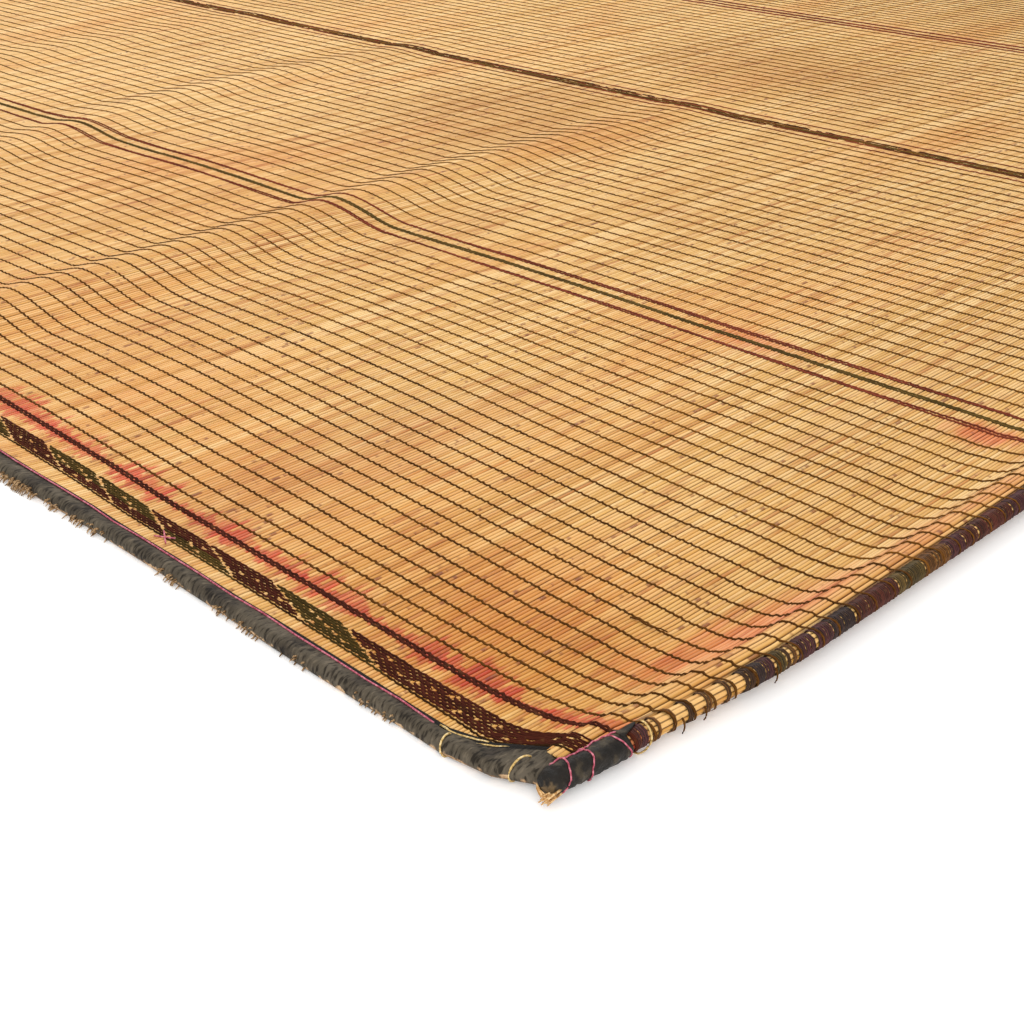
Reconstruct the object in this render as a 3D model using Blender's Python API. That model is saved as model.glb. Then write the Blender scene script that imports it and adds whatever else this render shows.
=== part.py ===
"""Flat reed and leather floor mat.

Thin straight reeds lie side by side along Y. Leather thongs, which run along X, hold them together.
The reed ends are bound into a soft leather roll at each end of the mat. Along each long side the last
reeds are gathered into a wrapped bundle, and a leather cap closes the bundle at every corner.
The mat lies on a flat surface. Low ridges run along the reeds, and the wrapped sides stand a little
above the surface. Metres, +Z up, origin at the middle of the underside.
"""

import math
import random
from collections import namedtuple

import bmesh
import bpy

# Driving dimensions of the mat.
MAT_LENGTH = 3.200          # along X, over the wrapped sides
MAT_WIDTH = 2.275           # along Y, over the leather rolls
SHEET_THICKNESS = 0.003     # one layer of reeds with the thongs
SEAT_GAP = 0.0003           # clearance between pieces that touch

# Leather roll on the reed ends.
ROLL_RADIUS = 0.0070
ROLL_FLAT = 0.0005          # how far the soft underside is pressed flat
ROLL_WOBBLE = 0.0005        # unevenness of its thickness
ROLL_END_INSET = 0.0050     # how far its ends bend in at the corners
ROLL_END_LIFT = 0.0045      # how far its ends rise at the corners
ROLL_BEND = 0.070           # length over which the ends bend

# Wrapped reed bundle along each long side.
BUNDLE_RADIUS = 0.0055
BUNDLE_WOBBLE = 0.0002
BUNDLE_AXIS_HEIGHT = 0.0145     # the sides curl up off the surface
BUNDLE_END_INSET = 0.0155   # how far the side draws in at the corners
BUNDLE_BEND = (0.030, 0.200)    # distance from the corner where the draw-in ends and where it begins

# Leather cap on each end of a bundle, and the reed ends that poke out of one cap.
CAP_RADIUS = 0.0075
CAP_AXIS_HEIGHT = 0.0115
CAP_TIP = 0.0085            # distance from the end of the mat to the cap's tip
CAP_MOUTH = 0.0630          # distance from the end of the mat to the cap's mouth
CAP_ROOM_RUN = 0.0080       # the sheet makes room for a cap over this distance past its mouth
TUFT_LENGTH = 0.0055
TUFT_RADIUS = 0.0030

# The sheet climbs onto the bundle: distance in from the bundle, and height of the underside there.
RisePoint = namedtuple("RisePoint", "distance_in height")
SIDE_RISE = (
    RisePoint(0.000, 0.0155),
    RisePoint(0.004, 0.0160),
    RisePoint(0.009, 0.0155),
    RisePoint(0.017, 0.0110),
    RisePoint(0.024, 0.0062),
    RisePoint(0.031, 0.0036),
    RisePoint(0.043, 0.0017),
    RisePoint(0.066, 0.0000),
)
SIDE_RISE_AT_CORNER = 0.62  # share of the climb that is left at the corners
END_RISE = 0.0030           # height of the underside where the reeds enter the leather roll
END_RISE_RUN = 0.040

# Ridges that run along the reeds. Places are measured from the right side and the near end.
Ridge = namedtuple("Ridge", "crest lean height near_run far_run strong_to gone_at")
RIDGES = (
    Ridge(crest=0.798, lean=0.028, height=0.0130, near_run=0.092, far_run=0.060, strong_to=0.55, gone_at=1.60),
    Ridge(crest=1.238, lean=0.105, height=0.0085, near_run=0.085, far_run=0.065, strong_to=0.60, gone_at=1.45),
    Ridge(crest=1.655, lean=0.050, height=0.0040, near_run=0.100, far_run=0.080, strong_to=0.70, gone_at=1.55),
)
RIDGE_START = 0.100         # a ridge fades out over this distance from the near end
RIDGE_LEAN_RUN = (0.300, 0.850)     # distances from the near end between which a ridge leans

# Wide, shallow swells of the sheet.
Swell = namedtuple("Swell", "from_right from_near half_length half_width height")
SWELLS = (
    Swell(0.560, 0.330, 0.300, 0.230, 0.0030),
    Swell(1.020, 0.520, 0.170, 0.330, 0.0026),
    Swell(2.350, 1.450, 0.420, 0.380, 0.0030),
    Swell(1.350, 1.900, 0.330, 0.240, 0.0022),
)
RESTING_CUT = 0.0004        # rises lower than this settle onto the surface

# How far in from its outline the sheet is drawn in at the corners.
DRAW_IN_RUN_X = 0.150
DRAW_IN_RUN_Y = 0.080

# Spacing of the lines that the sheet is drawn with.
COARSE_X = 0.085
RIDGE_X = 0.012
COARSE_Y = 0.125
END_LINES_Y = (0.0, 0.014, 0.034, 0.050, 0.060, 0.100)
TUBE_STEP = 0.110
TUBE_END_STEP = 0.022

HALF_LENGTH = MAT_LENGTH / 2
HALF_WIDTH = MAT_WIDTH / 2
BUNDLE_AXIS_X = HALF_LENGTH - BUNDLE_RADIUS
SHEET_HALF_X = BUNDLE_AXIS_X - BUNDLE_RADIUS - BUNDLE_WOBBLE - SEAT_GAP
ROLL_AXIS_Y = HALF_WIDTH - ROLL_RADIUS - ROLL_WOBBLE
SHEET_HALF_Y = ROLL_AXIS_Y - ROLL_RADIUS - ROLL_WOBBLE - SEAT_GAP
CAP_AXIS_X = BUNDLE_AXIS_X - BUNDLE_END_INSET
ROLL_END_X = CAP_AXIS_X - CAP_RADIUS - SEAT_GAP


def ease(start, end, value):
    """Go smoothly from 0 at start to 1 at end."""
    share = min(1.0, max(0.0, (value - start) / (end - start)))
    return share * share * (3.0 - 2.0 * share)


def side_inset(y):
    """Draw-in of a long side at y, largest at the corners."""
    from_end = HALF_WIDTH - abs(y)
    return BUNDLE_END_INSET * (1.0 - ease(*BUNDLE_BEND, from_end))


def end_inset(x):
    """Draw-in of a leather roll at x, largest at the corners."""
    return ROLL_END_INSET * ease(ROLL_END_X - ROLL_BEND, ROLL_END_X, abs(x))


def corner_share(y):
    """Height of a long side at y as a share of its height away from the corners."""
    from_end = HALF_WIDTH - abs(y)
    return SIDE_RISE_AT_CORNER + (1.0 - SIDE_RISE_AT_CORNER) * ease(*BUNDLE_BEND, from_end)


def bundle_height(y):
    """Height of a bundle's axis at y."""
    climb = ease(CAP_MOUTH, BUNDLE_BEND[1], HALF_WIDTH - abs(y))
    return CAP_AXIS_HEIGHT + (BUNDLE_AXIS_HEIGHT - CAP_AXIS_HEIGHT) * climb


def side_rise(distance_in):
    """Height of the sheet's underside at a distance in from the bundle."""
    for low, high in zip(SIDE_RISE, SIDE_RISE[1:]):
        if distance_in <= high.distance_in:
            share = ease(low.distance_in, high.distance_in, distance_in)
            return low.height + (high.height - low.height) * share
    return 0.0


def ridge_rise(ridge, x, y):
    """Height that one ridge gives the sheet at x, y."""
    from_right = HALF_LENGTH - x
    from_near = HALF_WIDTH + y
    crest = ridge.crest + ridge.lean * ease(*RIDGE_LEAN_RUN, from_near)
    run = ridge.near_run if from_right < crest else ridge.far_run
    across = 1.0 - ease(0.0, run, abs(from_right - crest))
    along = ease(0.0, RIDGE_START, from_near) * (1.0 - ease(ridge.strong_to, ridge.gone_at, from_near))
    return ridge.height * across * along


def swell_rise(swell, x, y):
    """Height that one shallow swell gives the sheet at x, y."""
    across = (HALF_LENGTH - x - swell.from_right) / swell.half_length
    along = (HALF_WIDTH + y - swell.from_near) / swell.half_width
    return swell.height * (1.0 - ease(0.0, 1.0, math.hypot(across, along)))


def sheet_lift(x, y):
    """Height of the sheet's underside at a place on the undrawn rectangle."""
    inner = sum(ridge_rise(ridge, x, y) for ridge in RIDGES)
    inner += sum(swell_rise(swell, x, y) for swell in SWELLS)
    inner = max(0.0, inner - RESTING_CUT)
    side = side_rise(SHEET_HALF_X - abs(x)) * corner_share(y)
    end = END_RISE * (1.0 - ease(0.0, END_RISE_RUN, SHEET_HALF_Y - abs(y)))
    return max(side, end, inner)


def cap_room(y):
    """Room that the sheet leaves beside a corner cap, which is thicker than the bundle."""
    from_end = HALF_WIDTH - abs(y)
    past_mouth = 1.0 - ease(CAP_MOUTH, CAP_MOUTH + CAP_ROOM_RUN, from_end)
    return (CAP_RADIUS - BUNDLE_RADIUS) * past_mouth


def drawn_in(x, y):
    """Move a place on the plain rectangle to its place in the drawn-in outline."""
    near_side = ease(SHEET_HALF_X - DRAW_IN_RUN_X, SHEET_HALF_X, abs(x))
    near_end = ease(SHEET_HALF_Y - DRAW_IN_RUN_Y, SHEET_HALF_Y, abs(y))
    new_x = x - math.copysign((side_inset(y) + cap_room(y)) * near_side, x)
    new_y = y - math.copysign(end_inset(x) * near_end, y)
    return new_x, new_y


def filled(places, step):
    """Sort places and add even ones wherever two lie further apart than step."""
    ordered = sorted(set(round(place, 5) for place in places))
    lines = [ordered[0]]
    for place in ordered[1:]:
        count = max(1, math.ceil((place - lines[-1]) / step - 1e-6))
        first = lines[-1]
        lines += [first + (place - first) * (index + 1) / count for index in range(count)]
    return lines


def sheet_lines_x():
    """Places along X where the sheet has a line of points: close together on slopes."""
    lines = []
    for point in SIDE_RISE:
        lines += [SHEET_HALF_X - point.distance_in, point.distance_in - SHEET_HALF_X]
    lines += [SHEET_HALF_X - 0.100, 0.100 - SHEET_HALF_X]
    for ridge in RIDGES:
        first = HALF_LENGTH - ridge.crest - ridge.lean - ridge.far_run
        last = HALF_LENGTH - ridge.crest + ridge.near_run
        step = RIDGE_X if ridge.height > 0.006 else 2 * RIDGE_X
        lines += filled((first, last), step)
    return filled(lines, COARSE_X)


def sheet_lines_y():
    """Places along Y where the sheet has a line of points."""
    lines = []
    for distance in END_LINES_Y:
        lines += [SHEET_HALF_Y - distance, distance - SHEET_HALF_Y]
    return filled(lines, COARSE_Y)


def make_material(name, colour, roughness):
    """Return a plain material with one colour and roughness."""
    material = bpy.data.materials.new(name)
    material.use_nodes = True
    shader = material.node_tree.nodes["Principled BSDF"]
    shader.inputs["Base Color"].default_value = (*colour, 1.0)
    shader.inputs["Roughness"].default_value = roughness
    shader.inputs["Metallic"].default_value = 0.0
    return material


def add_object(name, mesh, material, collection):
    """Put a mesh in the collection as one named object with its material."""
    mesh.materials.clear()
    mesh.materials.append(material)
    piece = bpy.data.objects.new(name, mesh)
    collection.objects.link(piece)
    return piece


def build_sheet(collection, material):
    """Build the reed sheet: a grid raised by the folds, then given its thickness downwards."""
    lines_x = sheet_lines_x()
    lines_y = sheet_lines_y()
    shape = bmesh.new()
    bmesh.ops.create_grid(shape, x_segments=len(lines_x) - 1, y_segments=len(lines_y) - 1, size=1.0)
    for vert in shape.verts:
        x = lines_x[round((vert.co.x + 1.0) / 2.0 * (len(lines_x) - 1))]
        y = lines_y[round((vert.co.y + 1.0) / 2.0 * (len(lines_y) - 1))]
        lift = sheet_lift(x, y)
        vert.co.x, vert.co.y = drawn_in(x, y)
        vert.co.z = lift + SHEET_THICKNESS
    top = list(shape.faces)
    under = bmesh.ops.extrude_face_region(shape, geom=top, use_keep_orig=True)
    for item in under["geom"]:
        if isinstance(item, bmesh.types.BMVert):
            item.co.z -= SHEET_THICKNESS
    bmesh.ops.recalc_face_normals(shape, faces=shape.faces)
    mesh = bpy.data.meshes.new("reed_sheet")
    shape.to_mesh(mesh)
    shape.free()
    return add_object("reed_sheet", mesh, material, collection)


def build_tube(name, path, radii, flat_below, collection, material):
    """Build a round piece along a path with its own radius at each point.

    The points of the finished surface that fall below flat_below are pressed up to it.
    """
    curve = bpy.data.curves.new(name + "_path", "CURVE")
    curve.dimensions = "3D"
    curve.bevel_depth = 1.0
    curve.bevel_resolution = 3
    curve.use_fill_caps = True
    spline = curve.splines.new("POLY")
    spline.points.add(len(path) - 1)
    for point, place, radius in zip(spline.points, path, radii):
        point.co = (*place, 1.0)
        point.radius = radius
    guide = bpy.data.objects.new(name + "_path", curve)
    bpy.context.scene.collection.objects.link(guide)
    bpy.context.view_layer.update()
    evaluated = guide.evaluated_get(bpy.context.evaluated_depsgraph_get())
    mesh = bpy.data.meshes.new_from_object(evaluated)
    bpy.data.objects.remove(guide)
    shape = bmesh.new()
    shape.from_mesh(mesh)
    bmesh.ops.remove_doubles(shape, verts=shape.verts, dist=0.00001)
    for vert in shape.verts:
        vert.co.z = max(vert.co.z, flat_below)
    bmesh.ops.recalc_face_normals(shape, faces=shape.faces)
    shape.to_mesh(mesh)
    shape.free()
    mesh.name = name
    piece = add_object(name, mesh, material, collection)
    mesh.shade_smooth()
    mesh.set_sharp_from_angle(angle=math.radians(50))
    return piece


def build_roll(name, end_sign, seed, collection, material):
    """Build the leather roll on one end of the mat: a soft tube, uneven and pressed flat below."""
    wobble = random.Random(seed)
    bend_lines = filled((ROLL_END_X - ROLL_BEND, ROLL_END_X), TUBE_END_STEP)
    stations = filled(bend_lines + [-line for line in bend_lines], TUBE_STEP)
    path = []
    radii = []
    for x in stations:
        bent = end_inset(x) / ROLL_END_INSET
        radius = ROLL_RADIUS + ROLL_WOBBLE * wobble.uniform(-1.0, 1.0) * (1.0 - bent)
        path.append((x, end_sign * (ROLL_AXIS_Y - end_inset(x)), radius - ROLL_FLAT + ROLL_END_LIFT * bent))
        radii.append(radius)
    return build_tube(name, path, radii, 0.0, collection, material)


def build_bundle(name, side_sign, seed, collection, material):
    """Build the wrapped bundle of reeds along one long side, between its two caps."""
    wobble = random.Random(seed)
    mouth = HALF_WIDTH - CAP_MOUTH - SEAT_GAP
    bend_end = HALF_WIDTH - BUNDLE_BEND[1]
    bend_lines = filled((bend_end, mouth), TUBE_END_STEP)
    stations = filled(bend_lines + [-line for line in bend_lines], TUBE_STEP)
    path = []
    radii = []
    for y in stations:
        path.append((side_sign * (BUNDLE_AXIS_X - side_inset(y)), y, bundle_height(y)))
        radii.append(BUNDLE_RADIUS + BUNDLE_WOBBLE * wobble.uniform(-1.0, 1.0))
    return build_tube(name, path, radii, 0.0, collection, material)


CapRing = namedtuple("CapRing", "along radius_share")
CAP_RINGS = (
    CapRing(0.00, 0.62),
    CapRing(0.05, 0.84),
    CapRing(0.16, 0.97),
    CapRing(0.35, 1.00),
    CapRing(0.55, 0.97),
    CapRing(0.80, 1.00),
    CapRing(1.00, 0.90),
)


def build_cap(name, side_sign, end_sign, collection, material):
    """Build the leather cap on one end of a bundle, round and narrowed at its tip."""
    path = []
    radii = []
    for ring in CAP_RINGS:
        from_end = CAP_TIP + (CAP_MOUTH - CAP_TIP) * ring.along
        y = end_sign * (HALF_WIDTH - from_end)
        radius = CAP_RADIUS * ring.radius_share
        path.append((side_sign * (BUNDLE_AXIS_X - side_inset(y)), y, CAP_AXIS_HEIGHT))
        radii.append(radius)
    return build_tube(name, path, radii, 0.0, collection, material)


TuftRing = namedtuple("TuftRing", "along sideways height radius_share")
TUFT_RINGS = (
    TuftRing(0.00, 0.0000, 0.0092, 0.80),
    TuftRing(0.20, 0.0000, 0.0092, 0.90),
    TuftRing(0.60, 0.0004, 0.0078, 1.00),
    TuftRing(1.00, 0.0010, 0.0064, 0.70),
)


def build_tuft(name, collection, material):
    """Build the short tuft of reed ends that shows at the tip of the near right cap."""
    tip = HALF_WIDTH - CAP_TIP + SEAT_GAP
    path = []
    radii = []
    for ring in TUFT_RINGS:
        path.append((CAP_AXIS_X - ring.sideways, -tip - TUFT_LENGTH * ring.along, ring.height))
        radii.append(TUFT_RADIUS * ring.radius_share)
    return build_tube(name, path, radii, 0.0, collection, material)


def build_mat():
    """Build every piece of the mat in its own collection."""
    for stale in list(bpy.data.objects):
        bpy.data.objects.remove(stale)
    collection = bpy.data.collections.new("reed_and_leather_mat")
    bpy.context.scene.collection.children.link(collection)
    straw = make_material("dried_reed", (0.64, 0.38, 0.12), 0.55)
    roll_leather = make_material("grey_goat_leather", (0.07, 0.065, 0.06), 0.60)
    wrap_leather = make_material("burgundy_thong_leather", (0.09, 0.025, 0.025), 0.50)
    cap_leather = make_material("black_leather", (0.03, 0.027, 0.025), 0.45)
    tuft_straw = make_material("frayed_straw", (0.55, 0.33, 0.13), 0.70)

    build_sheet(collection, straw)
    build_roll("leather_roll_near", -1, 11, collection, roll_leather)
    build_roll("leather_roll_far", 1, 12, collection, roll_leather)
    build_bundle("edge_bundle_right", 1, 21, collection, wrap_leather)
    build_bundle("edge_bundle_left", -1, 22, collection, wrap_leather)
    for end_name, end_sign in (("near", -1), ("far", 1)):
        for side_name, side_sign in (("right", 1), ("left", -1)):
            build_cap(f"corner_cap_{end_name}_{side_name}", side_sign, end_sign, collection, cap_leather)
    build_tuft("straw_tuft", collection, tuft_straw)


build_mat()
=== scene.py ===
"""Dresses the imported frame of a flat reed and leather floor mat.

Dried reeds lie side by side along Y, held by leather thongs that run along X. The reed ends are bound into a
leather roll at each end, and along each long side the last reeds are gathered into a bundle wrapped with
thongs and closed by a leather cap at every corner. Metres, +Z up, origin at the middle of the underside.
"""

import logging
import math
import random
from dataclasses import dataclass, field, replace
from enum import Enum
from typing import Any, Sequence

import bpy
import numpy as np
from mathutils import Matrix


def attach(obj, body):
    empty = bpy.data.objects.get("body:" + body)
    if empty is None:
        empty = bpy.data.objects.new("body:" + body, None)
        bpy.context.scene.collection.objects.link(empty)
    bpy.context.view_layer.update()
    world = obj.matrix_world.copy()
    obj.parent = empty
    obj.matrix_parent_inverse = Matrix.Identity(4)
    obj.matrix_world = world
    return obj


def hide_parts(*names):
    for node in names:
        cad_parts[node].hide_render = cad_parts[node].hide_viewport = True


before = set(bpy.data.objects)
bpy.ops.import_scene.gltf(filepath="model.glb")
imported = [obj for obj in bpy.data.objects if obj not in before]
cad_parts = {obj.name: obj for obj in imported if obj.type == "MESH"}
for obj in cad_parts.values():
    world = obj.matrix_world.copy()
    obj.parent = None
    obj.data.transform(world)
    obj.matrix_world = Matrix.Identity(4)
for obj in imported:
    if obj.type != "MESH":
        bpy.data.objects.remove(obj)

LOG = logging.getLogger("mat")
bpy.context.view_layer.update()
# About a full turn in radians, for chance phases
FULL_TURN = 6.28
# Two places closer than this along an axis count as one
SAME_PLACE = 1e-5
# Added to a length before dividing by it
NO_LENGTH = 1e-12
Array = np.ndarray
Piece = bpy.types.Object
Material = bpy.types.Material
Row = tuple[float, ...]
Span = tuple[float, float]
Place = tuple[float, float, float]


class Side(Enum):
    """The two long sides of the mat."""

    LEFT = -1
    RIGHT = 1


class End(Enum):
    """The two ends of the mat."""

    NEAR = -1
    FAR = 1


class Detail(Enum):
    """How finely a thong is modelled: stations for each reed, and faces across."""

    FINE = (2.0, 2)
    MEDIUM = (1.0, 2)
    FAR = (0.5, 2)
    FLAT = (1.0, 1)


class Dye(Enum):
    """Colours of the thong leather, as sRGB hex codes."""

    BROWN = "#50300E"
    DARK_BROWN = "#341E0A"
    WORN_BROWN = "#643E12"
    BURGUNDY = "#3E1A10"
    WORN_BURGUNDY = "#6A3020"
    OLIVE = "#4E3C1A"
    OLIVE_BROWN = "#3E3012"
    PLUM = "#3A1C1C"
    BLUE_BLACK = "#291B18"


def linear_colour(code: str) -> tuple[float, float, float, float]:
    """Turn an sRGB hex code into a linear colour.

    Args:
        code: the colour, written as #RRGGBB.

    Returns:
        Red, green, blue and an alpha of one.
    """
    parts = [int(code[index : index + 2], 16) / 255.0 for index in (1, 3, 5)]
    linear = [part / 12.92 if part <= 0.04045 else ((part + 0.055) / 1.055) ** 2.4 for part in parts]
    return (linear[0], linear[1], linear[2], 1.0)


def ease(start: float, end: float, value: Any) -> Any:
    """Go smoothly from 0 at start to 1 at end.

    Args:
        start: where the climb begins.
        end: where the climb ends.
        value: one place or an array of places.

    Returns:
        The height of the climb at each place.
    """
    share = np.clip((value - start) / (end - start), 0.0, 1.0)
    return share * share * (3.0 - 2.0 * share)


@dataclass(frozen=True)
class Curve:
    """Values at stated places, with straight runs between them."""

    places: Row
    values: Row

    def at(self, place: Any) -> Any:
        """Value at each place."""
        return np.interp(place, self.places, self.values)


@dataclass(frozen=True)
class Ridge:
    """A ridge that runs along the reeds, placed from the right side and the near end."""

    crest: float
    lean: float
    height: float
    near_run: float
    far_run: float
    strong_to: float
    gone_at: float


@dataclass(frozen=True)
class Swell:
    """A wide, shallow swell of the sheet, placed from the right side and the near end."""

    from_right: float
    from_near: float
    half_length: float
    half_width: float
    height: float


@dataclass(frozen=True)
class MatForm:
    """The shape in which the mat lies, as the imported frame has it."""

    length: float = 3.200
    width: float = 2.275
    seat_gap: float = 0.0003
    roll_radius: float = 0.0070
    roll_flat: float = 0.0005
    roll_wobble: float = 0.0005
    roll_end_inset: float = 0.0050
    roll_end_lift: float = 0.0045
    roll_bend: float = 0.070
    bundle_radius: float = 0.0055
    bundle_wobble: float = 0.0002
    bundle_axis_height: float = 0.0145
    bundle_end_inset: float = 0.0155
    bundle_bend: Span = (0.030, 0.200)
    cap_radius: float = 0.0075
    cap_axis_height: float = 0.0115
    cap_mouth: float = 0.0630
    cap_room_run: float = 0.0080
    side_rise_at: Row = (0.0, 0.004, 0.009, 0.017, 0.024, 0.031, 0.043, 0.066)
    side_rise_heights: Row = (0.0155, 0.0160, 0.0155, 0.0110, 0.0062, 0.0036, 0.0017, 0.0)
    side_rise_at_corner: float = 0.62
    end_rise: float = 0.0030
    end_rise_run: float = 0.040
    ridges: tuple[Ridge, ...] = (
        Ridge(0.798, 0.028, 0.0130, 0.092, 0.060, 0.55, 1.30),
        Ridge(1.238, 0.105, 0.0085, 0.085, 0.065, 0.60, 1.45),
        Ridge(1.655, 0.050, 0.0040, 0.100, 0.080, 0.70, 1.55),
    )
    ridge_start: float = 0.100
    ridge_lean_run: Span = (0.300, 0.850)
    swells: tuple[Swell, ...] = (
        Swell(0.560, 0.330, 0.300, 0.230, 0.0030),
        Swell(1.020, 0.520, 0.170, 0.330, 0.0026),
        Swell(2.350, 1.450, 0.420, 0.380, 0.0030),
        Swell(1.350, 1.900, 0.330, 0.240, 0.0022),
    )
    resting_cut: float = 0.0004
    bow: Curve = Curve(
        (1.300, 1.430, 1.460, 1.490, 1.510, 1.535, 1.548, 1.557, 1.566),
        (0.0, 0.0023, 0.0040, 0.0052, 0.0062, 0.0080, 0.0047, -0.0010, -0.0060),
    )
    bow_run: Span = (0.020, 0.064)
    draw_in_run_x: float = 0.150
    draw_in_run_y: float = 0.080
    normal_step: float = 0.0006

    @property
    def half_length(self) -> float:
        """Half of the mat along X."""
        return self.length / 2

    @property
    def half_width(self) -> float:
        """Half of the mat along Y."""
        return self.width / 2

    @property
    def bundle_axis_x(self) -> float:
        """Distance of a wrapped bundle's axis from the middle."""
        return self.half_length - self.bundle_radius

    @property
    def sheet_half_x(self) -> float:
        """Half of the reed sheet along X."""
        return self.bundle_axis_x - self.bundle_radius - self.bundle_wobble - self.seat_gap

    @property
    def roll_axis_y(self) -> float:
        """Distance of a leather roll's axis from the middle."""
        return self.half_width - self.roll_radius - self.roll_wobble

    @property
    def sheet_half_y(self) -> float:
        """Half of the reed sheet along Y."""
        return self.roll_axis_y - self.roll_radius - self.roll_wobble - self.seat_gap

    @property
    def cap_axis_x(self) -> float:
        """Distance of a corner cap's axis from the middle."""
        return self.bundle_axis_x - self.bundle_end_inset

    @property
    def roll_end_x(self) -> float:
        """Distance of a leather roll's end from the middle."""
        return self.cap_axis_x - self.cap_radius - self.seat_gap

    def side_inset(self, y: Any) -> Any:
        """Draw-in of a long side at y."""
        return self.bundle_end_inset * (1.0 - ease(*self.bundle_bend, self.half_width - np.abs(y)))

    def end_inset(self, x: Any) -> Any:
        """Draw-in of a leather roll at x."""
        return self.roll_end_inset * ease(self.roll_end_x - self.roll_bend, self.roll_end_x, np.abs(x))

    def roll_height(self, x: Any) -> Any:
        """Height of a leather roll's axis at x."""
        raised = self.roll_end_lift * self.end_inset(x) / self.roll_end_inset
        return self.roll_radius - self.roll_flat + raised

    def bundle_height(self, y: Any) -> Any:
        """Height of a bundle's axis at y."""
        climb = ease(self.cap_mouth, self.bundle_bend[1], self.half_width - np.abs(y))
        return self.cap_axis_height + (self.bundle_axis_height - self.cap_axis_height) * climb

    def side_rise(self, distance_in: Array) -> Array:
        """Height of the sheet's underside at a distance in from the bundle.

        Args:
            distance_in: distances from the bundle.

        Returns:
            The height at each distance.
        """
        rise = np.where(distance_in <= 0.0, self.side_rise_heights[0], 0.0)
        rows = list(zip(self.side_rise_at, self.side_rise_heights))
        for (low_at, low), (high_at, high) in zip(rows, rows[1:]):
            here = (distance_in > low_at) & (distance_in <= high_at)
            rise = np.where(here, low + (high - low) * ease(low_at, high_at, distance_in), rise)
        return rise

    def ridge_rise(self, ridge: Ridge, x: Array, y: Array) -> Array:
        """Height that one ridge gives the sheet.

        Args:
            ridge: the ridge.
            x: places along the mat.
            y: places across the mat.

        Returns:
            The height at each place.
        """
        from_right = self.half_length - x
        from_near = self.half_width + y
        crest = ridge.crest + ridge.lean * ease(*self.ridge_lean_run, from_near)
        run = np.where(from_right < crest, ridge.near_run, ridge.far_run)
        across = 1.0 - ease(0.0, run, np.abs(from_right - crest))
        fading = 1.0 - ease(ridge.strong_to, ridge.gone_at, from_near)
        along = ease(0.0, self.ridge_start, from_near) * fading
        return ridge.height * across * along

    def lift(self, x: Array, y: Array) -> Array:
        """Height of the sheet's underside on the undrawn rectangle.

        Args:
            x: places along the mat.
            y: places across the mat.

        Returns:
            The height at each place.
        """
        inner = sum(self.ridge_rise(ridge, x, y) for ridge in self.ridges)
        for swell in self.swells:
            across = (self.half_length - x - swell.from_right) / swell.half_length
            along = (self.half_width + y - swell.from_near) / swell.half_width
            inner = inner + swell.height * (1.0 - ease(0.0, 1.0, np.hypot(across, along)))
        inner = np.maximum(0.0, inner - self.resting_cut)
        corner = self.side_rise_at_corner
        share = corner + (1.0 - corner) * ease(*self.bundle_bend, self.half_width - np.abs(y))
        side = self.side_rise(self.sheet_half_x - np.abs(x)) * share
        end = self.end_rise * (1.0 - ease(0.0, self.end_rise_run, self.sheet_half_y - np.abs(y)))
        return np.maximum(np.maximum(side, end), inner)

    def surface(self, x: Array, y: Array) -> Array:
        """Place on the sheet's underside, drawn in at the corners and bowed out beside the near right one.

        Args:
            x: places along the undrawn rectangle.
            y: places across it.

        Returns:
            One row of coordinates for each place.
        """
        near_side = ease(self.sheet_half_x - self.draw_in_run_x, self.sheet_half_x, np.abs(x))
        near_end = ease(self.sheet_half_y - self.draw_in_run_y, self.sheet_half_y, np.abs(y))
        from_end = self.half_width - np.abs(y)
        in_cap = 1.0 - ease(self.cap_mouth, self.cap_mouth + self.cap_room_run, from_end)
        room = (self.cap_radius - self.bundle_radius) * in_cap
        drawn_x = x - np.copysign((self.side_inset(y) + room) * near_side, x)
        bow = self.bow.at(x) * (1.0 - ease(*self.bow_run, self.half_width + y))
        drawn_y = y - np.copysign(self.end_inset(x) * near_end, y) - bow
        return np.stack([drawn_x, drawn_y, self.lift(x, y)], axis=-1)

    def place(self, x: Array, y: Array, height: Array) -> Array:
        """Place at a height above the sheet's underside, square to it.

        Args:
            x: places along the undrawn rectangle.
            y: places across it.
            height: heights above the underside.

        Returns:
            One row of coordinates for each place.
        """
        step = self.normal_step
        here = self.surface(x, y)
        along = self.surface(x + step, y) - self.surface(x - step, y)
        across = self.surface(x, y + step) - self.surface(x, y - step)
        normal = np.cross(along, across)
        normal /= np.linalg.norm(normal, axis=-1, keepdims=True)
        return here + normal * np.asarray(height)[..., None]

    def bundle_point(self, side: Side, y: Array, angle: Array, radius: Array) -> Array:
        """Place round a wrapped bundle's axis.

        Args:
            side: the side that the bundle is on.
            y: places along it.
            angle: angles from the outward direction, turning up.
            radius: distances from the axis.

        Returns:
            One row of coordinates for each place.
        """
        axis_x = self.bundle_axis_x - self.side_inset(y)
        x = side.value * (axis_x + radius * np.cos(angle))
        return np.stack([x, y, self.bundle_height(y) + radius * np.sin(angle)], axis=-1)


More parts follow.
